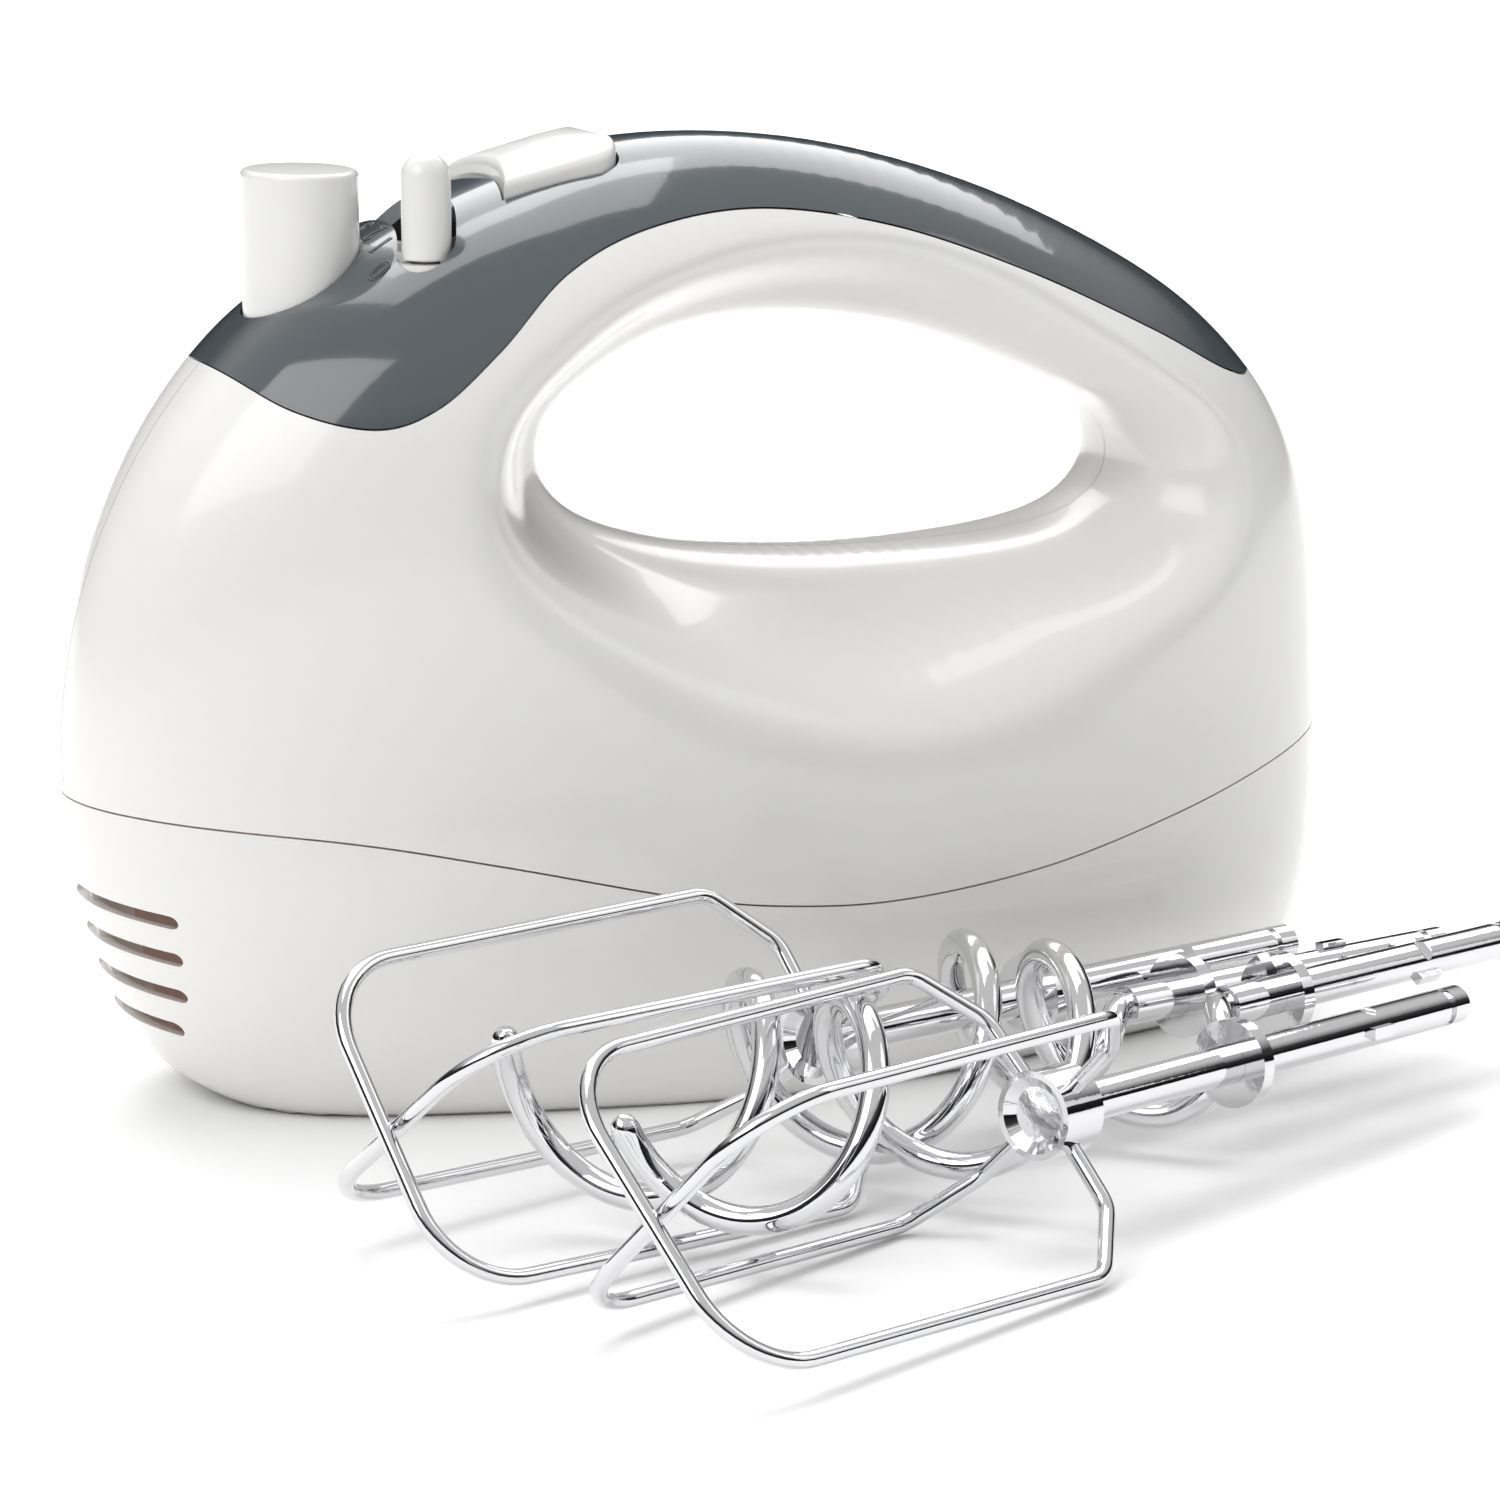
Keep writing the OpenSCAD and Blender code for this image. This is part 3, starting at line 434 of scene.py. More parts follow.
def surface_material(name, group_name, values, metallic=0.0, coat=0.0, bump=0.02, ior=1.5,
                     glow=0.0):
    """A Principled material fed by one of the shared surface groups."""
    if name in bpy.data.materials:
        return bpy.data.materials[name]
    make = {"moulded_surface": moulding_group, "metal_surface": metal_group}[group_name]
    group = bpy.data.node_groups.get(group_name) or make()
    mat = bpy.data.materials.new(name)
    mat.use_nodes = True
    tree = mat.node_tree
    shader = tree.nodes["Principled BSDF"]
    node = tree.nodes.new("ShaderNodeGroup")
    node.node_tree = group
    for label, value in values.items():
        node.inputs[label].default_value = (*value, 1) if isinstance(value, tuple) else value
    relief = tree.nodes.new("ShaderNodeBump")
    relief.inputs["Strength"].default_value = bump
    relief.inputs["Distance"].default_value = 0.0004
    tree.links.new(node.outputs["Color"], shader.inputs["Base Color"])
    tree.links.new(node.outputs["Roughness"], shader.inputs["Roughness"])
    tree.links.new(node.outputs["Height"], relief.inputs["Height"])
    tree.links.new(relief.outputs["Normal"], shader.inputs["Normal"])
    shader.inputs["Metallic"].default_value = metallic
    shader.inputs["Coat Weight"].default_value = coat
    shader.inputs["Coat Roughness"].default_value = 0.04
    shader.inputs["IOR"].default_value = ior
    if glow:
        tree.links.new(node.outputs["Color"], shader.inputs["Emission Color"])
    shader.inputs["Emission Strength"].default_value = glow
    return mat


def plastic(name, color, roughness=0.2, coat=0.35, bump=0.03, tint=(0.75, 0.72, 0.66),
            amount=0.06, glow=0.0):
    return surface_material(name, "moulded_surface", {
        "Color": tuple(color), "Tint": tint, "Tint Amount": amount, "Roughness": roughness,
        "Roughness Spread": 0.07, "Grain Scale": 900.0}, coat=coat, bump=bump, glow=glow)


def metal(name, color, roughness=0.12, bump=0.03, smudge=(0.5, 0.5, 0.52), amount=0.2, lines=600.0):
    return surface_material(name, "metal_surface", {
        "Color": tuple(color), "Smudge Color": smudge, "Smudge Amount": amount, "Roughness": roughness,
        "Roughness Spread": 0.12, "Line Scale": lines}, metallic=1.0, bump=bump)


def control_plastic(colours):
    return plastic("white_controls", colours.controls, roughness=0.22, coat=0.3)


def plating(colours):
    return metal("bright_plating", colours.chrome, roughness=0.04, amount=0.12)


def finish_piece(obj, mat, body, slot_name, *nodes):
    """Gives a new piece its material, its body and the CAD nodes it stands for."""
    obj.data.materials.clear()
    obj.data.materials.append(mat)
    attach(obj, body)
    if nodes:
        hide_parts(*nodes)


def dress(nodes, mat):
    """Puts a material on CAD nodes that stay as they are."""
    for name in nodes:
        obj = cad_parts[name]
        for s in obj.material_slots:
            s.material = mat
        if not obj.material_slots:
            obj.data.materials.append(mat)


# ---- Settings ----------------------------------------------------------------
class MixerColours(bpy.types.PropertyGroup):
    """Colours of the plastic and metal"""

    body: FloatVectorProperty(name="Housing", description="Colour of the white housing",
                              subtype="COLOR", size=3, min=0, max=1, default=(0.86, 0.855, 0.835))
    cover: FloatVectorProperty(name="Cover", description="Colour of the handle cover",
                               subtype="COLOR", size=3, min=0, max=1, default=(0.058, 0.072, 0.082))
    controls: FloatVectorProperty(name="Controls", description="Colour of the buttons and the lever",
                                  subtype="COLOR", size=3, min=0, max=1, default=(0.86, 0.855, 0.84))
    chrome: FloatVectorProperty(name="Attachments", description="Colour of the plated attachments",
                                subtype="COLOR", size=3, min=0, max=1, default=(0.72, 0.72, 0.73))


class MixerSizes(bpy.types.PropertyGroup):
    """Sizes of the visible details"""

    seam_gap: FloatProperty(name="Seam gap", description="Gap between the moulded shells",
                            unit="LENGTH", default=0.0003, min=0.0001, max=0.0006)
    wire: FloatProperty(name="Cage wire", description="Thickness of the beater wire",
                        unit="LENGTH", default=0.0024, min=0.0022, max=0.0024)
    hook_wire: FloatProperty(name="Hook wire", description="Thickness of the hook wire",
                             unit="LENGTH", default=0.0042, min=0.004, max=0.0042)
    digit: FloatProperty(name="Digit height", description="Height of the dial's digits",
                         unit="LENGTH", default=0.0036, min=0.0028, max=0.0038)
    rim_steps: IntProperty(name="Rim steps", description="Sections of the shell mesh round the hand hole",
                           default=300, min=120, max=480)
    side_steps: IntProperty(name="Side steps", description="Rows of the shell mesh from hole to outline",
                            default=56, min=20, max=80)


# ---- Housing -----------------------------------------------------------------
def form_grid(inset, floor_z, rims, sides):
    """Points and faces of the ring-shaped body, faces outward."""
    m = 2 * sides
    places, widths = [], []
    for i in range(rims):
        a = i * 360 / rims
        inner, outer = HOLE_POLAR(a) + inset, OUTLINE_FROM_HOLE(a) - inset
        c, s = math.cos(math.radians(a)), math.sin(math.radians(a))
        row = []
        for q in range(sides + 1):
            r = inner + (outer - inner) * (0.5 - 0.5 * math.cos(math.pi * q / sides))
            row.append((HOLE_CENTRE[0] + r * c, HOLE_CENTRE[1] + r * s))
        places.append(row)
        least = [0.3 * math.sin(math.pi * q / sides) for q in range(sides + 1)]
        widths.append([0 if q in (0, sides) else max(half_width(*row[q], inset), least[q])
                       for q in range(sides + 1)])
    # Evens out small ripples round the scoop
    for _ in range(rims // 16):
        widths = [[(before + 2 * here + after) / 4 for before, here, after in
                   zip(widths[i - 1], widths[i], widths[(i + 1) % rims])] for i in range(rims)]
    for _ in range(sides // 6):
        widths = [[(w[q - 1] + 2 * w[q] + w[q + 1]) / 4 if sides // 7 < q < sides - sides // 7 else w[q]
                   for q in range(sides + 1)] for w in widths]
    verts = []
    for row, wide in zip(places, widths):
        for j in range(m):
            q = j if j <= sides else m - j
            (x, z), w = row[q], wide[q]
            verts.append((x, (-w if j <= sides else w), max(z, floor_z)))
    faces = [(i * m + j, ((i + 1) % rims) * m + j, ((i + 1) % rims) * m + (j + 1) % m, i * m + (j + 1) % m)
             for i in range(rims) for j in range(m)]
    return verts, faces


def hollow_form(name, sizes):
    """The whole shell: an outer skin with an inner one facing the other way."""
    outer, outer_faces = form_grid(0, 0, sizes.rim_steps, sizes.side_steps)
    inner, inner_faces = form_grid(WALL, WALL, 96, 24)
    n = len(outer)
    faces = outer_faces + [tuple(n + k for k in reversed(f)) for f in inner_faces]
    return new_object(name, outer + inner, faces)


def copy_of(obj, name):
    twin = obj.copy()
    twin.data = obj.data.copy()
    twin.name = name
    bpy.context.scene.collection.objects.link(twin)
    return twin


def seam(points, shift):
    return [(x, z + shift) for x, z in open_curve(points, 12)]


def above(points, shift):
    return seam(points, shift) + [(115, 175), (-115, 175)]


def below(points, shift):
    return seam(points, shift) + [(120, -12), (-120, -12)]


def vent_cutters():
    """Slots with round ends that wrap the lower nose."""
    out = []
    for i, half in enumerate((20.6, 20.3, 19.6, 17)):
        r = 1.0
        rim = [(s * (half - r) + r * math.sin(math.radians(a)) * s, r * math.cos(math.radians(a)))
               for s, turns in ((1, range(0, 181, 15)), (-1, range(180, -1, -15))) for a in turns]
        n = len(rim)
        verts = [(x, y, z) for x in (-36, 2.5) for y, z in rim]
        faces = [tuple(range(n)), tuple(range(2 * n - 1, n - 1, -1))]
        faces += [(k, (k + 1) % n, n + (k + 1) % n, n + k) for k in range(n)]
        slot_cutter = new_object("vent_cutter", verts, faces)
        tilt = Matrix.Rotation(math.radians(9), 4, "Y")
        slot_cutter.data.transform(Matrix.Translation(Vector((-90, 0, 31.6 - 5.85 * i)) * MM) @ tilt)
        tidy_normals(slot_cutter)
        out.append(slot_cutter)
    return out


def arc_outline(half_sweep, width, n=24):
    """Plan of a slot curved round the lever's pivot, with round ends."""
    r, h = LEVER_REACH, width / 2
    pts = []
    for k in range(n + 1):
        a = math.radians(-half_sweep + 2 * half_sweep * k / n)
        pts.append((LEVER_PIVOT_X + (r + h) * math.cos(a), (r + h) * math.sin(a)))
    for k in range(1, 12):
        a, b = math.radians(half_sweep), math.radians(half_sweep + 180 * k / 12)
        pts.append((LEVER_PIVOT_X + r * math.cos(a) + h * math.cos(b), r * math.sin(a) + h * math.sin(b)))
    for k in range(n + 1):
        a = math.radians(half_sweep - 2 * half_sweep * k / n)
        pts.append((LEVER_PIVOT_X + (r - h) * math.cos(a), (r - h) * math.sin(a)))
    for k in range(1, 12):
        a, b = math.radians(-half_sweep), math.radians(-half_sweep + 180 + 180 * k / 12)
        pts.append((LEVER_PIVOT_X + r * math.cos(a) + h * math.cos(b), r * math.sin(a) + h * math.sin(b)))
    return pts


def oval_outline(a, b, n=64, x=EJECT_X, y=0):
    return [(x + a * math.cos(math.tau * k / n), y + b * math.sin(math.tau * k / n)) for k in range(n)]


def turbo_outline(grow, n=20):
    """Plan of the boost button: its front follows the lever's arc."""
    corner, front = 5, 57
    back, half = -20 + grow, 14 + grow
    sweep = math.degrees(math.asin(half / front))
    pts = [(LEVER_PIVOT_X + (front - grow) * math.cos(math.radians(a)), front * math.sin(math.radians(a)))
           for a in (sweep - 2 * sweep * k / n for k in range(n + 1))]
    for middle, turns in ((corner - half, range(-90, 1, 9)), (half - corner, range(0, 91, 9))):
        pts += [(back - corner + corner * math.cos(a), middle + corner * math.sin(a))
                for a in map(math.radians, turns)]
    return pts


class MIXER_OT_housing(bpy.types.Operator):
    """Makes the lower housing and the two upper halves"""

    bl_idname = "mixer.housing"
    bl_label = "Housing"

    def execute(self, context):
        sizes, colours = context.scene.mixer_sizes, context.scene.mixer_colours
        gap = sizes.seam_gap / MM / 2
        white = plastic("white_abs", colours.body)
        whole = hollow_form("whole_shell", sizes)
        lower = copy_of(whole, "housing_lower")
        cut(lower, prism("below_seam", below(BASE_SEAM, -gap), -60, 60), "INTERSECT")
        for cutter in vent_cutters():
            cut(lower, cutter)
        for s in (-1, 1):
            cut(lower, prism("socket_hole", oval_outline(6.5, 6.5, 48, SOCKET_X, s * SOCKET_Y), -2, 6, "Z"))
        for x, y in SCREWS:
            cut(lower, prism("screw_hole", oval_outline(3.1, 3.1, 32, x, y), -2, 8, "Z"))
        inlet = lathe("inlet_hole", [(90, 0), (90, 6.1), (125, 6.1), (125, 0)])
        inlet.data.transform(Matrix.Translation((0, 0, INLET_Z * MM)))
        cut(lower, inlet)
        rib = prism("vent_rib", [(-93.2, 8.5), (-99.3, 16), (-102.6, 26), (-104.2, 36), (-98, 36),
                                 (-96.5, 26), (-94, 16), (-90, 8.5)], -1, 1)
        lower = join("housing_lower", [lower, rib])
        finish_piece(lower, white, "mixer", "body_white", "lower_housing")
        upper = whole
        cut(upper, prism("cover_cut", above(COVER_SEAM, -gap), -60, 60))
        cut(upper, prism("base_cut", below(BASE_SEAM, gap), -60, 60))
        for name, sign, node in (("housing_upper_left", -1, "upper_housing_left"),
                                 ("housing_upper_right", 1, "upper_housing_right")):
            half = keep_side(copy_of(upper, name), sign, HALVES_GAP * MM)
            shade(half, 40)
            finish_piece(half, white, "mixer", "body_white", node)
        bpy.data.objects.remove(upper, do_unlink=True)
        return {"FINISHED"}


class MIXER_OT_cover(bpy.types.Operator):
    """Makes the cover over the handle and the nose, with its openings"""

    bl_idname = "mixer.cover"
    bl_label = "Top Cover"

    def execute(self, context):
        sizes, colours = context.scene.mixer_sizes, context.scene.mixer_colours
        gap = sizes.seam_gap / MM / 2
        cover = hollow_form("cover_top", sizes)
        cut(cover, prism("above_seam", above(COVER_SEAM, gap), -60, 60), "INTERSECT")
        cut(cover, prism("eject_hole", oval_outline(9.2, 11.9), 100, 160, "Z"))
        cut(cover, prism("lever_slot", arc_outline(LEVER_SWEEP / 2 + 1, 9), 100, 160, "Z"))
        cut(cover, prism("turbo_hole", turbo_outline(0.4), 120, 160, "Z"))
        shade(cover, 40)
        grey = plastic("grey_abs", colours.cover, roughness=0.08, coat=0.7, tint=(0.2, 0.22, 0.24),
                       amount=0.2)
        finish_piece(cover, grey, "mixer", "cover_grey", "top_cover")
        return {"FINISHED"}


# ---- Controls ----------------------------------------------------------------
def capped_stack(name, rings, smooth=40):
    """A solid from matching rings of points, closed by a fan at each end."""
    n = len(rings[0])
    verts = [p for ring in rings for p in ring]
    faces = [(i * n + k, i * n + (k + 1) % n, (i + 1) * n + (k + 1) % n, (i + 1) * n + k)
             for i in range(len(rings) - 1) for k in range(n)]
    for base in (0, (len(rings) - 1) * n):
        centre = tuple(sum(verts[base + k][c] for k in range(n)) / n for c in range(3))
        verts.append(centre)
        faces += [(base + k, base + (k + 1) % n, len(verts) - 1) for k in range(n)]
    obj = new_object(name, verts, faces, smooth)
    tidy_normals(obj)
    return obj


class MIXER_OT_eject_button(bpy.types.Operator):
    """Makes the tall eject button with its domed top"""

    bl_idname = "mixer.eject_button"
    bl_label = "Eject Button"

    def execute(self, context):
        a, b, top, edge, crown = 8.8, 11.5, 144.5, 1.0, 0.3
        levels = [(112, 0.0), (118, 0.0), (top - crown - edge, 0.0)]
        for k in range(1, 9):
            t = math.radians(90 * k / 8)
            levels.append((top - crown - edge + edge * math.sin(t), edge * (1 - math.cos(t))))
        for k in range(1, 8):
            f = k / 8
            levels.append((top - crown * (1 - f) ** 2, edge + (a - edge) * f))
        rings = []
        for z, inset in levels:
            f = max((a - inset) / a, 0.02)
            g = max((b - inset * (b / a if inset > edge else 1)) / b, 0.02)
            rings.append([(x, y, z) for x, y in oval_outline(a * f, b * g, 72)])
        button = capped_stack("eject_button_cap", rings, 50)
        stem = lathe("eject_stem", [(80, 0), (80, 3), (112.5, 3), (112.5, 0)])
        stand_up(stem, EJECT_STEM_X)
        button = join("eject_button_cap", [button, stem], 50)
        mat = control_plastic(context.scene.mixer_colours)
        finish_piece(button, mat, "eject", "control_white", "eject_button")
        return {"FINISHED"}


class MIXER_OT_speed_lever(bpy.types.Operator):
    """Makes the round speed lever, its slot plate and the digits of its dial"""

    bl_idname = "mixer.speed_lever"
    bl_label = "Speed Lever"

    def execute(self, context):
        r, low, top = 3.8, 131.4, 147.6
        profile = [(119.8, 0), (119.8, 2), (low, 2), (low, r - 0.25), (low + 0.25, r), (top - r, r)]
        profile += [(top - r + r * math.sin(math.radians(a)), r * math.cos(math.radians(a)))
                    for a in range(9, 90, 9)]
        profile += [(top, 0)]
        lever = lathe("speed_lever_pin", profile, 56)
        a = math.radians(-LEVER_SWEEP / 2)
        stand_up(lever, LEVER_PIVOT_X + LEVER_REACH * math.cos(a), LEVER_REACH * math.sin(a))
        mat = control_plastic(context.scene.mixer_colours)
        finish_piece(lever, mat, "lever", "control_white", "speed_lever")
        plate = prism("slot_plate", arc_outline(LEVER_SWEEP / 2 + 1, 8.8), 129.2, 130.9, "Z")
        cut(plate, prism("stem_slot", arc_outline(LEVER_SWEEP / 2 + 0.5, 4.8), 120, 140, "Z"))
        shade(plate, 40)
        finish_piece(plate, mat, "mixer", "control_white", "speed_slot_plate")
        for digit in range(6):
            curve = bpy.data.curves.new("digit", "FONT")
            curve.body = str(digit)
            curve.size = context.scene.mixer_sizes.digit / 0.72
            curve.align_x, curve.align_y = "CENTER", "CENTER"
            curve.fill_mode = "NONE"
            curve.bevel_depth = 0.00016
            text = bpy.data.objects.new("digit", curve)
            context.scene.collection.objects.link(text)
            graph = context.evaluated_depsgraph_get()
            mesh = bpy.data.meshes.new_from_object(text.evaluated_get(graph))
            bpy.data.objects.remove(text, do_unlink=True)
            y0 = FIRST_DIGIT_Y + DIGIT_PITCH * digit
            x0 = LEVER_PIVOT_X + math.sqrt(DIGIT_REACH ** 2 - y0 ** 2)
            turn = math.radians(y0 * 0.9)
            for v in mesh.vertices:
                u, w = v.co.x / MM, v.co.y / MM
                u, w = u * math.cos(turn) + w * math.sin(turn), w * math.cos(turn) - u * math.sin(turn)
                x, y = x0 - w, y0 + u
                v.co = Vector((x, y, top_z(x, y))) * MM + Vector((0, 0, v.co.z))
            mesh.update()
            obj = bpy.data.objects.new(f"dial_digit_{digit}", mesh)
            context.scene.collection.objects.link(obj)
            # The digit outlines are darker than the cover: painted shade standing for the shaded edges of
            # raised digits.
            finish_piece(obj, plastic("digit_outline_painted_shade", (0.035, 0.04, 0.045), roughness=0.3, coat=0.2),
                         "mixer", "cover_grey")
        return {"FINISHED"}


class MIXER_OT_turbo_button(bpy.types.Operator):
    """Makes the boost button, which stands a little proud of the cover"""

    bl_idname = "mixer.turbo_button"
    bl_label = "Boost Button"

    def execute(self, context):
        proud, edge = 2.5, 1.3
        outline = turbo_outline(0, 28)
        cx, cy = -29.5, 0.0
        rings = []
        for drop, scale in ((7.6, 1.0), (4.0, 1.0)):
            rings.append([(x, y, top_z(x, y) + proud - drop) for x, y in outline])
        for k in range(8):
            t = math.radians(90 * k / 7)
            inset = edge * (1 - math.cos(t))
            ring = []
            for x, y in outline:
                f = 1 - inset / math.hypot(x - cx, y - cy)
                px, py = cx + (x - cx) * f, cy + (y - cy) * f
                ring.append((px, py, top_z(px, py) + proud - edge + edge * math.sin(t)))
            rings.append(ring)
        for f in (0.744, 0.558, 0.372, 0.186, 0.0465):
            ring = [(cx + (x - cx) * f, cy + (y - cy) * f) for x, y in outline]
            rings.append([(x, y, top_z(x, y) + proud) for x, y in ring])
        button = capped_stack("turbo_button_cap", rings, 50)
        stem = lathe("turbo_stem", [(126, 0), (126, 1.8), (129, 1.8), (129, 3.6), (141.5, 3.6), (141.5, 0)])
        stand_up(stem, TURBO_STEM_X)
        button = join("turbo_button_cap", [button, stem], 50)
        mat = control_plastic(context.scene.mixer_colours)
        finish_piece(button, mat, "turbo", "control_white", "turbo_button")
        return {"FINISHED"}


# ---- Attachments -------------------------------------------------------------
def loop_path(tip):
    """One cage loop from one side of the hub round the tip and back, in the XZ plane."""
    side, end = 25, 13
    half = [(9.5, 0, 4.6), (9.4, 0, 8)] + fillet((9.5, 0, 8), (9, 0, 16.2), (0, 0, 26), 2, 6)
    half += fillet((9, 0, 16.2), (0, 0, 26), (tip + end, 0, side), 2.6, 8)
    steps = 14
    half += [(tip + end + end * math.cos(math.radians(a)), 0, side - end + end * math.sin(math.radians(a)))
             for a in (90 + 90 * k / steps for k in range(steps + 1))]
    half = [Vector(p) for p in half]
    return half + [Vector((p.x, 0, -p.z)) for p in reversed(half)]


class MIXER_OT_beaters(bpy.types.Operator):
    """Makes the wire cages and plates the beaters"""

    bl_idname = "mixer.beaters"
    bl_label = "Beaters"

    def execute(self, context):
        r = context.scene.mixer_sizes.wire / MM / 2
        plated = plating(context.scene.mixer_colours)
        for name, pose in BEATERS.items():
            loops = []
            for k in (0, 1):
                loop = tube("loop", loop_path(-69.4 - 2.55 * k), r, 16)
                loop.data.transform(Matrix.Rotation(math.radians(45 + 90 * k), 4, "X"))
                loops.append(loop)
            cage = lie_down(join(f"{name}_cage", loops, 50), pose)
            finish_piece(cage, plated, name, "bright_chrome", f"{name}_wires")
        return {"FINISHED"}


class MIXER_OT_hooks(bpy.types.Operator):
    """Makes the spiral rods of the dough hooks"""

    bl_idname = "mixer.hooks"
    bl_label = "Dough Hooks"

    def execute(self, context):
        r = context.scene.mixer_sizes.hook_wire / MM / 2
        plated = plating(context.scene.mixer_colours)
        steps = 260

        def rod_radius(t):
            """The last hundredth of the rod rounds off to its tip."""
            return r * math.sqrt(max(1 - (max(t - 0.99, 0) / 0.01) ** 2, 0.02))

        for name, pose in HOOKS.items():
            path = []
            for i in range(steps + 1):
                s = 12 + 110 * i / steps
                reach = 14 * ease(min((s - 12) / 16, 1))
                a = math.radians(90 + 360 * (s - 12) / 41.5)
                path.append((-s, reach * math.cos(a), reach * math.sin(a)))
            rod = lie_down(tube(f"{name}_rod", path, rod_radius, 20), pose)
            finish_piece(rod, plated, name, "bright_chrome", f"{name}_spiral")
        return {"FINISHED"}


# ---- Inner works -------------------------------------------------------------
class MIXER_OT_inner_works(bpy.types.Operator):
    """Finishes the CAD pieces that stay as they are"""

    bl_idname = "mixer.inner_works"
    bl_label = "Inner Works"

    def execute(self, context):
        colours = context.scene.mixer_colours
        plated = plating(colours)
        steel = metal("bright_steel", (0.56, 0.57, 0.59), roughness=0.25, bump=0.06)
        spring = metal("spring_wire", (0.48, 0.49, 0.51), roughness=0.3)
        sheets = metal("laminated_steel", (0.33, 0.34, 0.36), roughness=0.42, bump=0.2, lines=2500.0)
        copper = metal("enamelled_copper", (0.62, 0.27, 0.12), roughness=0.3, smudge=(0.35, 0.12, 0.05),
                       amount=0.4)
        bronze = metal("bronze", (0.62, 0.44, 0.2), roughness=0.35, smudge=(0.4, 0.25, 0.1))
        # The gearbox frame glows (glow=0.55): painted light that makes the inside seen through the vent
        # slots look lit. The frame is no lamp.
        nylon = plastic("nylon_painted_glow", (0.52, 0.34, 0.29), roughness=0.45, coat=0.0, glow=0.55)
        gears = plastic("gear_nylon", (0.74, 0.70, 0.58), roughness=0.4, coat=0.0)
        white = control_plastic(colours)
        inner = plastic("matt_white", (0.72, 0.71, 0.68), roughness=0.5, coat=0.0)
        black = plastic("black_switch", (0.02, 0.02, 0.022), roughness=0.4, coat=0.0, tint=(0.1, 0.1, 0.1))
        carbon = plastic("pressed_carbon", (0.015, 0.015, 0.015), roughness=0.6, coat=0.0, bump=0.2)
        board = plastic("board_green", (0.03, 0.12, 0.05), roughness=0.35, coat=0.2, tint=(0.02, 0.06, 0.03),
                        amount=0.5)
        leads = plastic("lead_insulation", (0.16, 0.07, 0.04), roughness=0.4, coat=0.1)
        names = list(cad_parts)
        dress([n for n in names if n.startswith(("beater_", "hook_"))], plated)
        dress(["cord_clamp_screws", "housing_screws", "motor_bracket_front", "motor_bracket_rear",
               "motor_screws", "ejector_bar", "armature_shaft", "drive_sleeve_left", "drive_sleeve_right"],
              steel)
        dress(["eject_spring", "turbo_spring", "brush_springs"], spring)
        dress(["stator_core", "armature_core"], sheets)
        dress(["field_coil_upper", "field_coil_lower", "armature_windings", "commutator"], copper)
        dress(["spindle_bushes", "armature_bushes", "brush_holders"], bronze)
        dress(["gearbox_frame"], nylon)
        dress(["speed_slider", "cooling_fan", "drive_gear_left", "drive_gear_right"], gears)
        dress(["speed_slot_plate", "cord_inlet_grommet", "eject_button", "speed_lever", "turbo_button"],
              white)
        dress(["eject_guide", "cord_clamp", "lower_housing", "upper_housing_left", "upper_housing_right",
               "top_cover"], inner)
        dress(["speed_switch", "turbo_switch"], black)
        dress(["carbon_brushes"], carbon)
        dress(["circuit_board"], board)
        dress(["wiring"], leads)
        return {"FINISHED"}


# ---- Stage -------------------------------------------------------------------
def softbox(name, place, aim, size, power):
    data = bpy.data.lights.new(name, "AREA")
    data.shape = "RECTANGLE"
    data.size, data.size_y = size
    data.energy = power
    obj = bpy.data.objects.new(name, data)
    obj.location = place
    obj.rotation_euler = (Vector(aim) - Vector(place)).to_track_quat("-Z", "Y").to_euler()
    bpy.context.scene.collection.objects.link(obj)


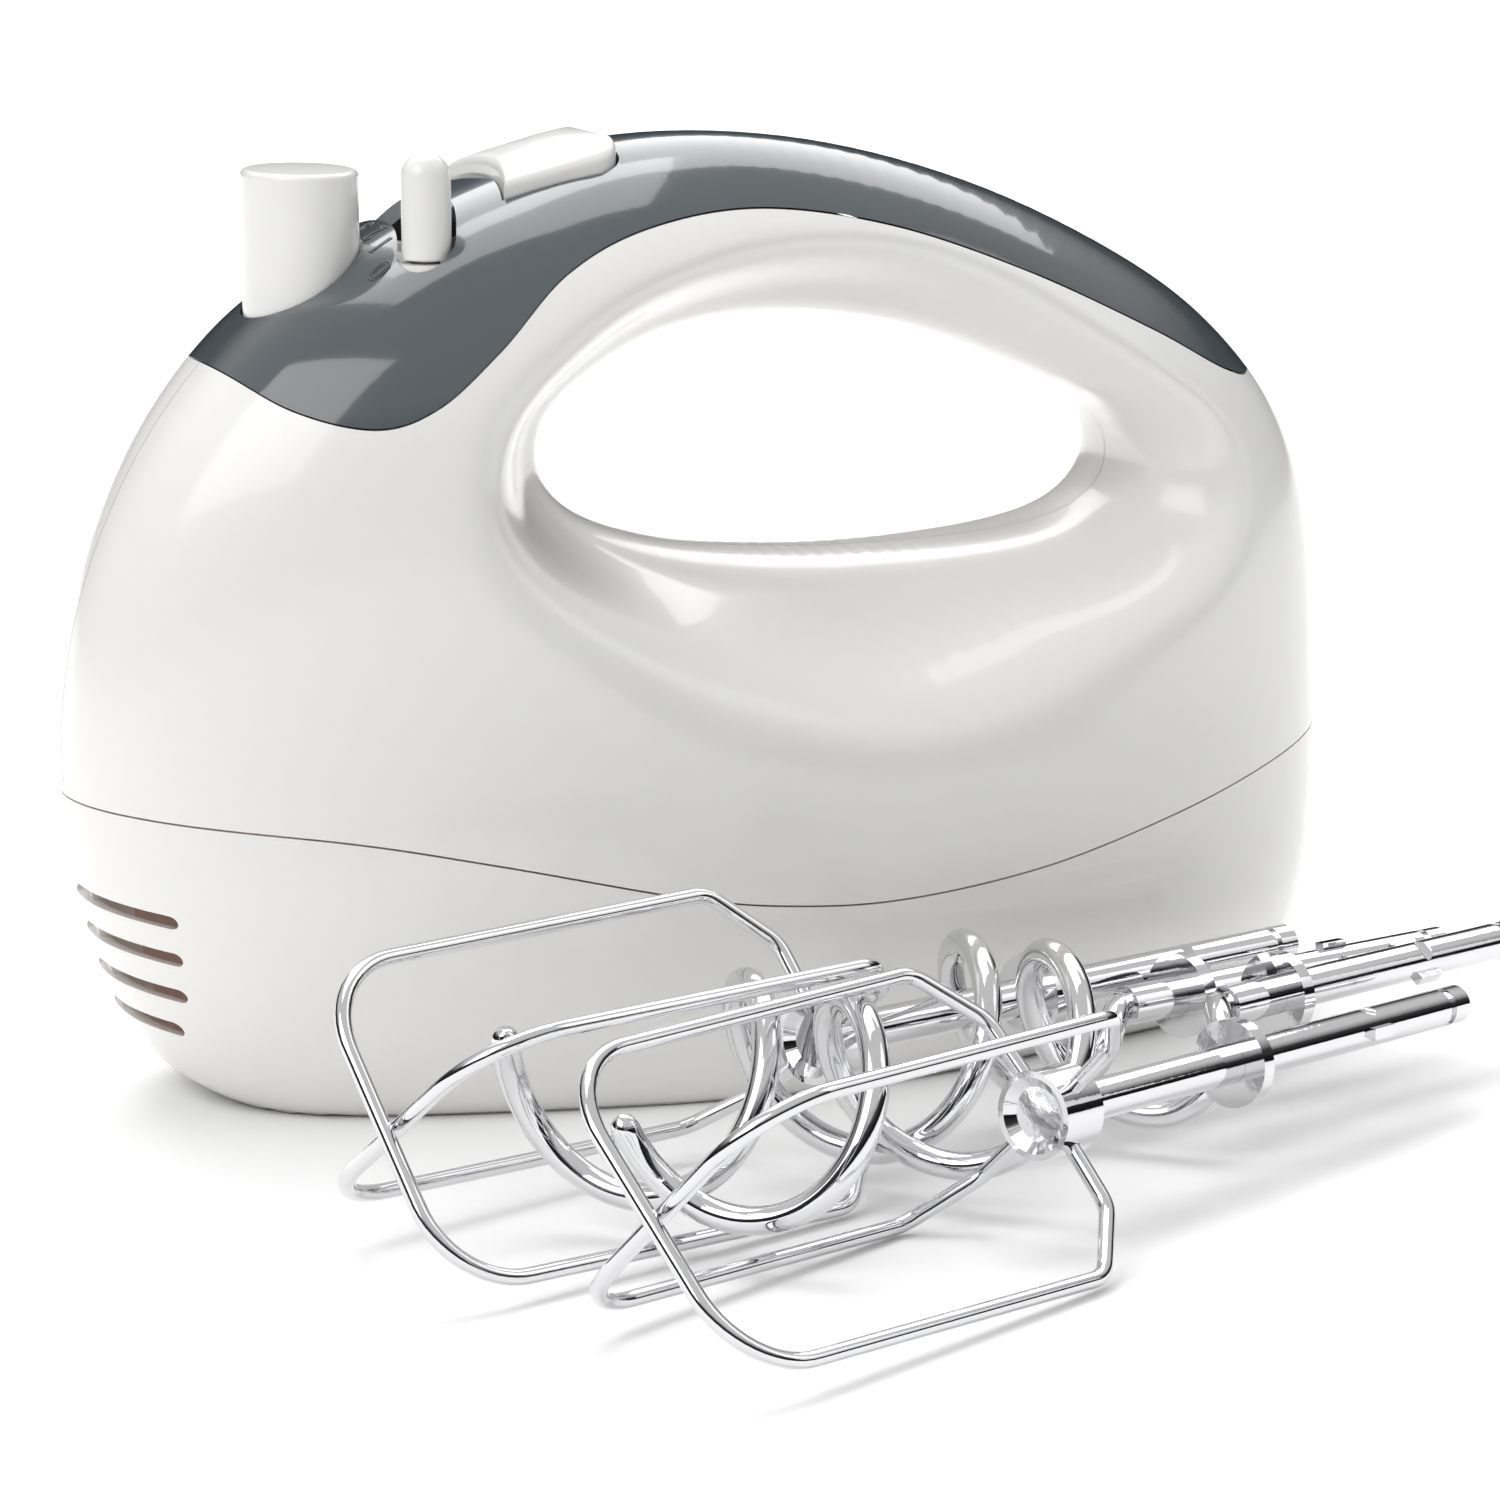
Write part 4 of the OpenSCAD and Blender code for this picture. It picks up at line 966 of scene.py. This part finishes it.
class MIXER_OT_stage(bpy.types.Operator):
    """Makes the pale floor, the soft lights and the camera"""

    bl_idname = "mixer.stage"
    bl_label = "Stage"

    def execute(self, context):
        corners = ((-1, -1), (1, -1), (1, 1), (-1, 1))
        floor = new_object("pale_floor", [(x * FLOOR_HALF, y * FLOOR_HALF, 0) for x, y in corners],
                           [(0, 1, 2, 3)])
        floor.data.materials.append(surface_material("pale_paper", "moulded_surface", {
            "Color": (0.97, 0.97, 0.97), "Tint": (0.94, 0.94, 0.94), "Tint Amount": 0.1, "Roughness": 0.75,
            "Roughness Spread": 0.1, "Grain Scale": 400.0}, bump=0.02, ior=1.0))
        world = bpy.data.worlds.new("soft_white_room")
        world.use_nodes = True
        tree = world.node_tree
        background = tree.nodes["Background"]
        # White overhead, with grey walls that give the plating and the cover something to reflect
        place = tree.nodes.new("ShaderNodeTexCoord")
        split = tree.nodes.new("ShaderNodeSeparateXYZ")
        ramp = tree.nodes.new("ShaderNodeValToRGB")
        stops = ramp.color_ramp.elements
        stops[0].position, stops[0].color = 0.1, (0.015, 0.015, 0.016, 1)
        stops[1].position, stops[1].color = 0.55, (1, 1, 1, 1)
        middle = stops.new(0.32)
        middle.color = (0.07, 0.07, 0.072, 1)
        tree.links.new(place.outputs["Generated"], split.inputs["Vector"])
        tree.links.new(split.outputs["Z"], ramp.inputs["Fac"])
        tree.links.new(ramp.outputs["Color"], background.inputs["Color"])
        background.inputs["Strength"].default_value = 0.7
        context.scene.world = world
        context.scene.view_settings.view_transform = "Standard"
        softbox("key_light", (-1.1, -0.45, 0.95), (0, -0.03, 0.07), (1.1, 0.9), 8)
        softbox("side_light", (1.0, -0.5, 0.7), (0, -0.03, 0.07), (0.5, 0.9), 1.2)
        softbox("top_light", (0.0, 0.3, 1.3), (0, 0, 0.1), (1.0, 0.7), 5)
        softbox("back_light", (0.7, 1.7, 1.6), (0.7, 1.7, 0), (2.4, 2.4), 42)
        data = bpy.data.cameras.new("camera")
        data.lens, data.sensor_width = 120, 36
        camera = bpy.data.objects.new("camera", data)
        camera.location = (-0.291, -0.736, 0.2175)
        camera.rotation_euler = (math.radians(77.9), 0, math.radians(-22))
        context.scene.collection.objects.link(camera)
        context.scene.camera = camera
        return {"FINISHED"}


STEPS = ("housing", "cover", "eject_button", "speed_lever", "turbo_button", "beaters", "hooks",
         "inner_works", "stage")


class MIXER_PT_panel(bpy.types.Panel):
    """Lists the mixer's pieces and its settings"""

    bl_label = "Hand Mixer"
    bl_space_type = "VIEW_3D"
    bl_region_type = "UI"
    bl_category = "Mixer"

    def draw(self, context):
        column = self.layout.column()
        for owner in (context.scene.mixer_sizes, context.scene.mixer_colours):
            for prop in owner.bl_rna.properties:
                if not prop.is_readonly and prop.identifier != "name":
                    column.prop(owner, prop.identifier)
        for step in STEPS:
            column.operator(f"mixer.{step}")


CLASSES = (MixerColours, MixerSizes, MIXER_OT_housing, MIXER_OT_cover, MIXER_OT_eject_button,
           MIXER_OT_speed_lever, MIXER_OT_turbo_button, MIXER_OT_beaters, MIXER_OT_hooks,
           MIXER_OT_inner_works, MIXER_OT_stage, MIXER_PT_panel)


def register():
    for cls in CLASSES:
        bpy.utils.register_class(cls)
    bpy.types.Scene.mixer_colours = PointerProperty(type=MixerColours)
    bpy.types.Scene.mixer_sizes = PointerProperty(type=MixerSizes)


def unregister():
    del bpy.types.Scene.mixer_sizes
    del bpy.types.Scene.mixer_colours
    for cls in reversed(CLASSES):
        bpy.utils.unregister_class(cls)


def main():
    register()
    for step in STEPS:
        getattr(bpy.ops.mixer, step)()


if __name__ == "__main__":
    main()
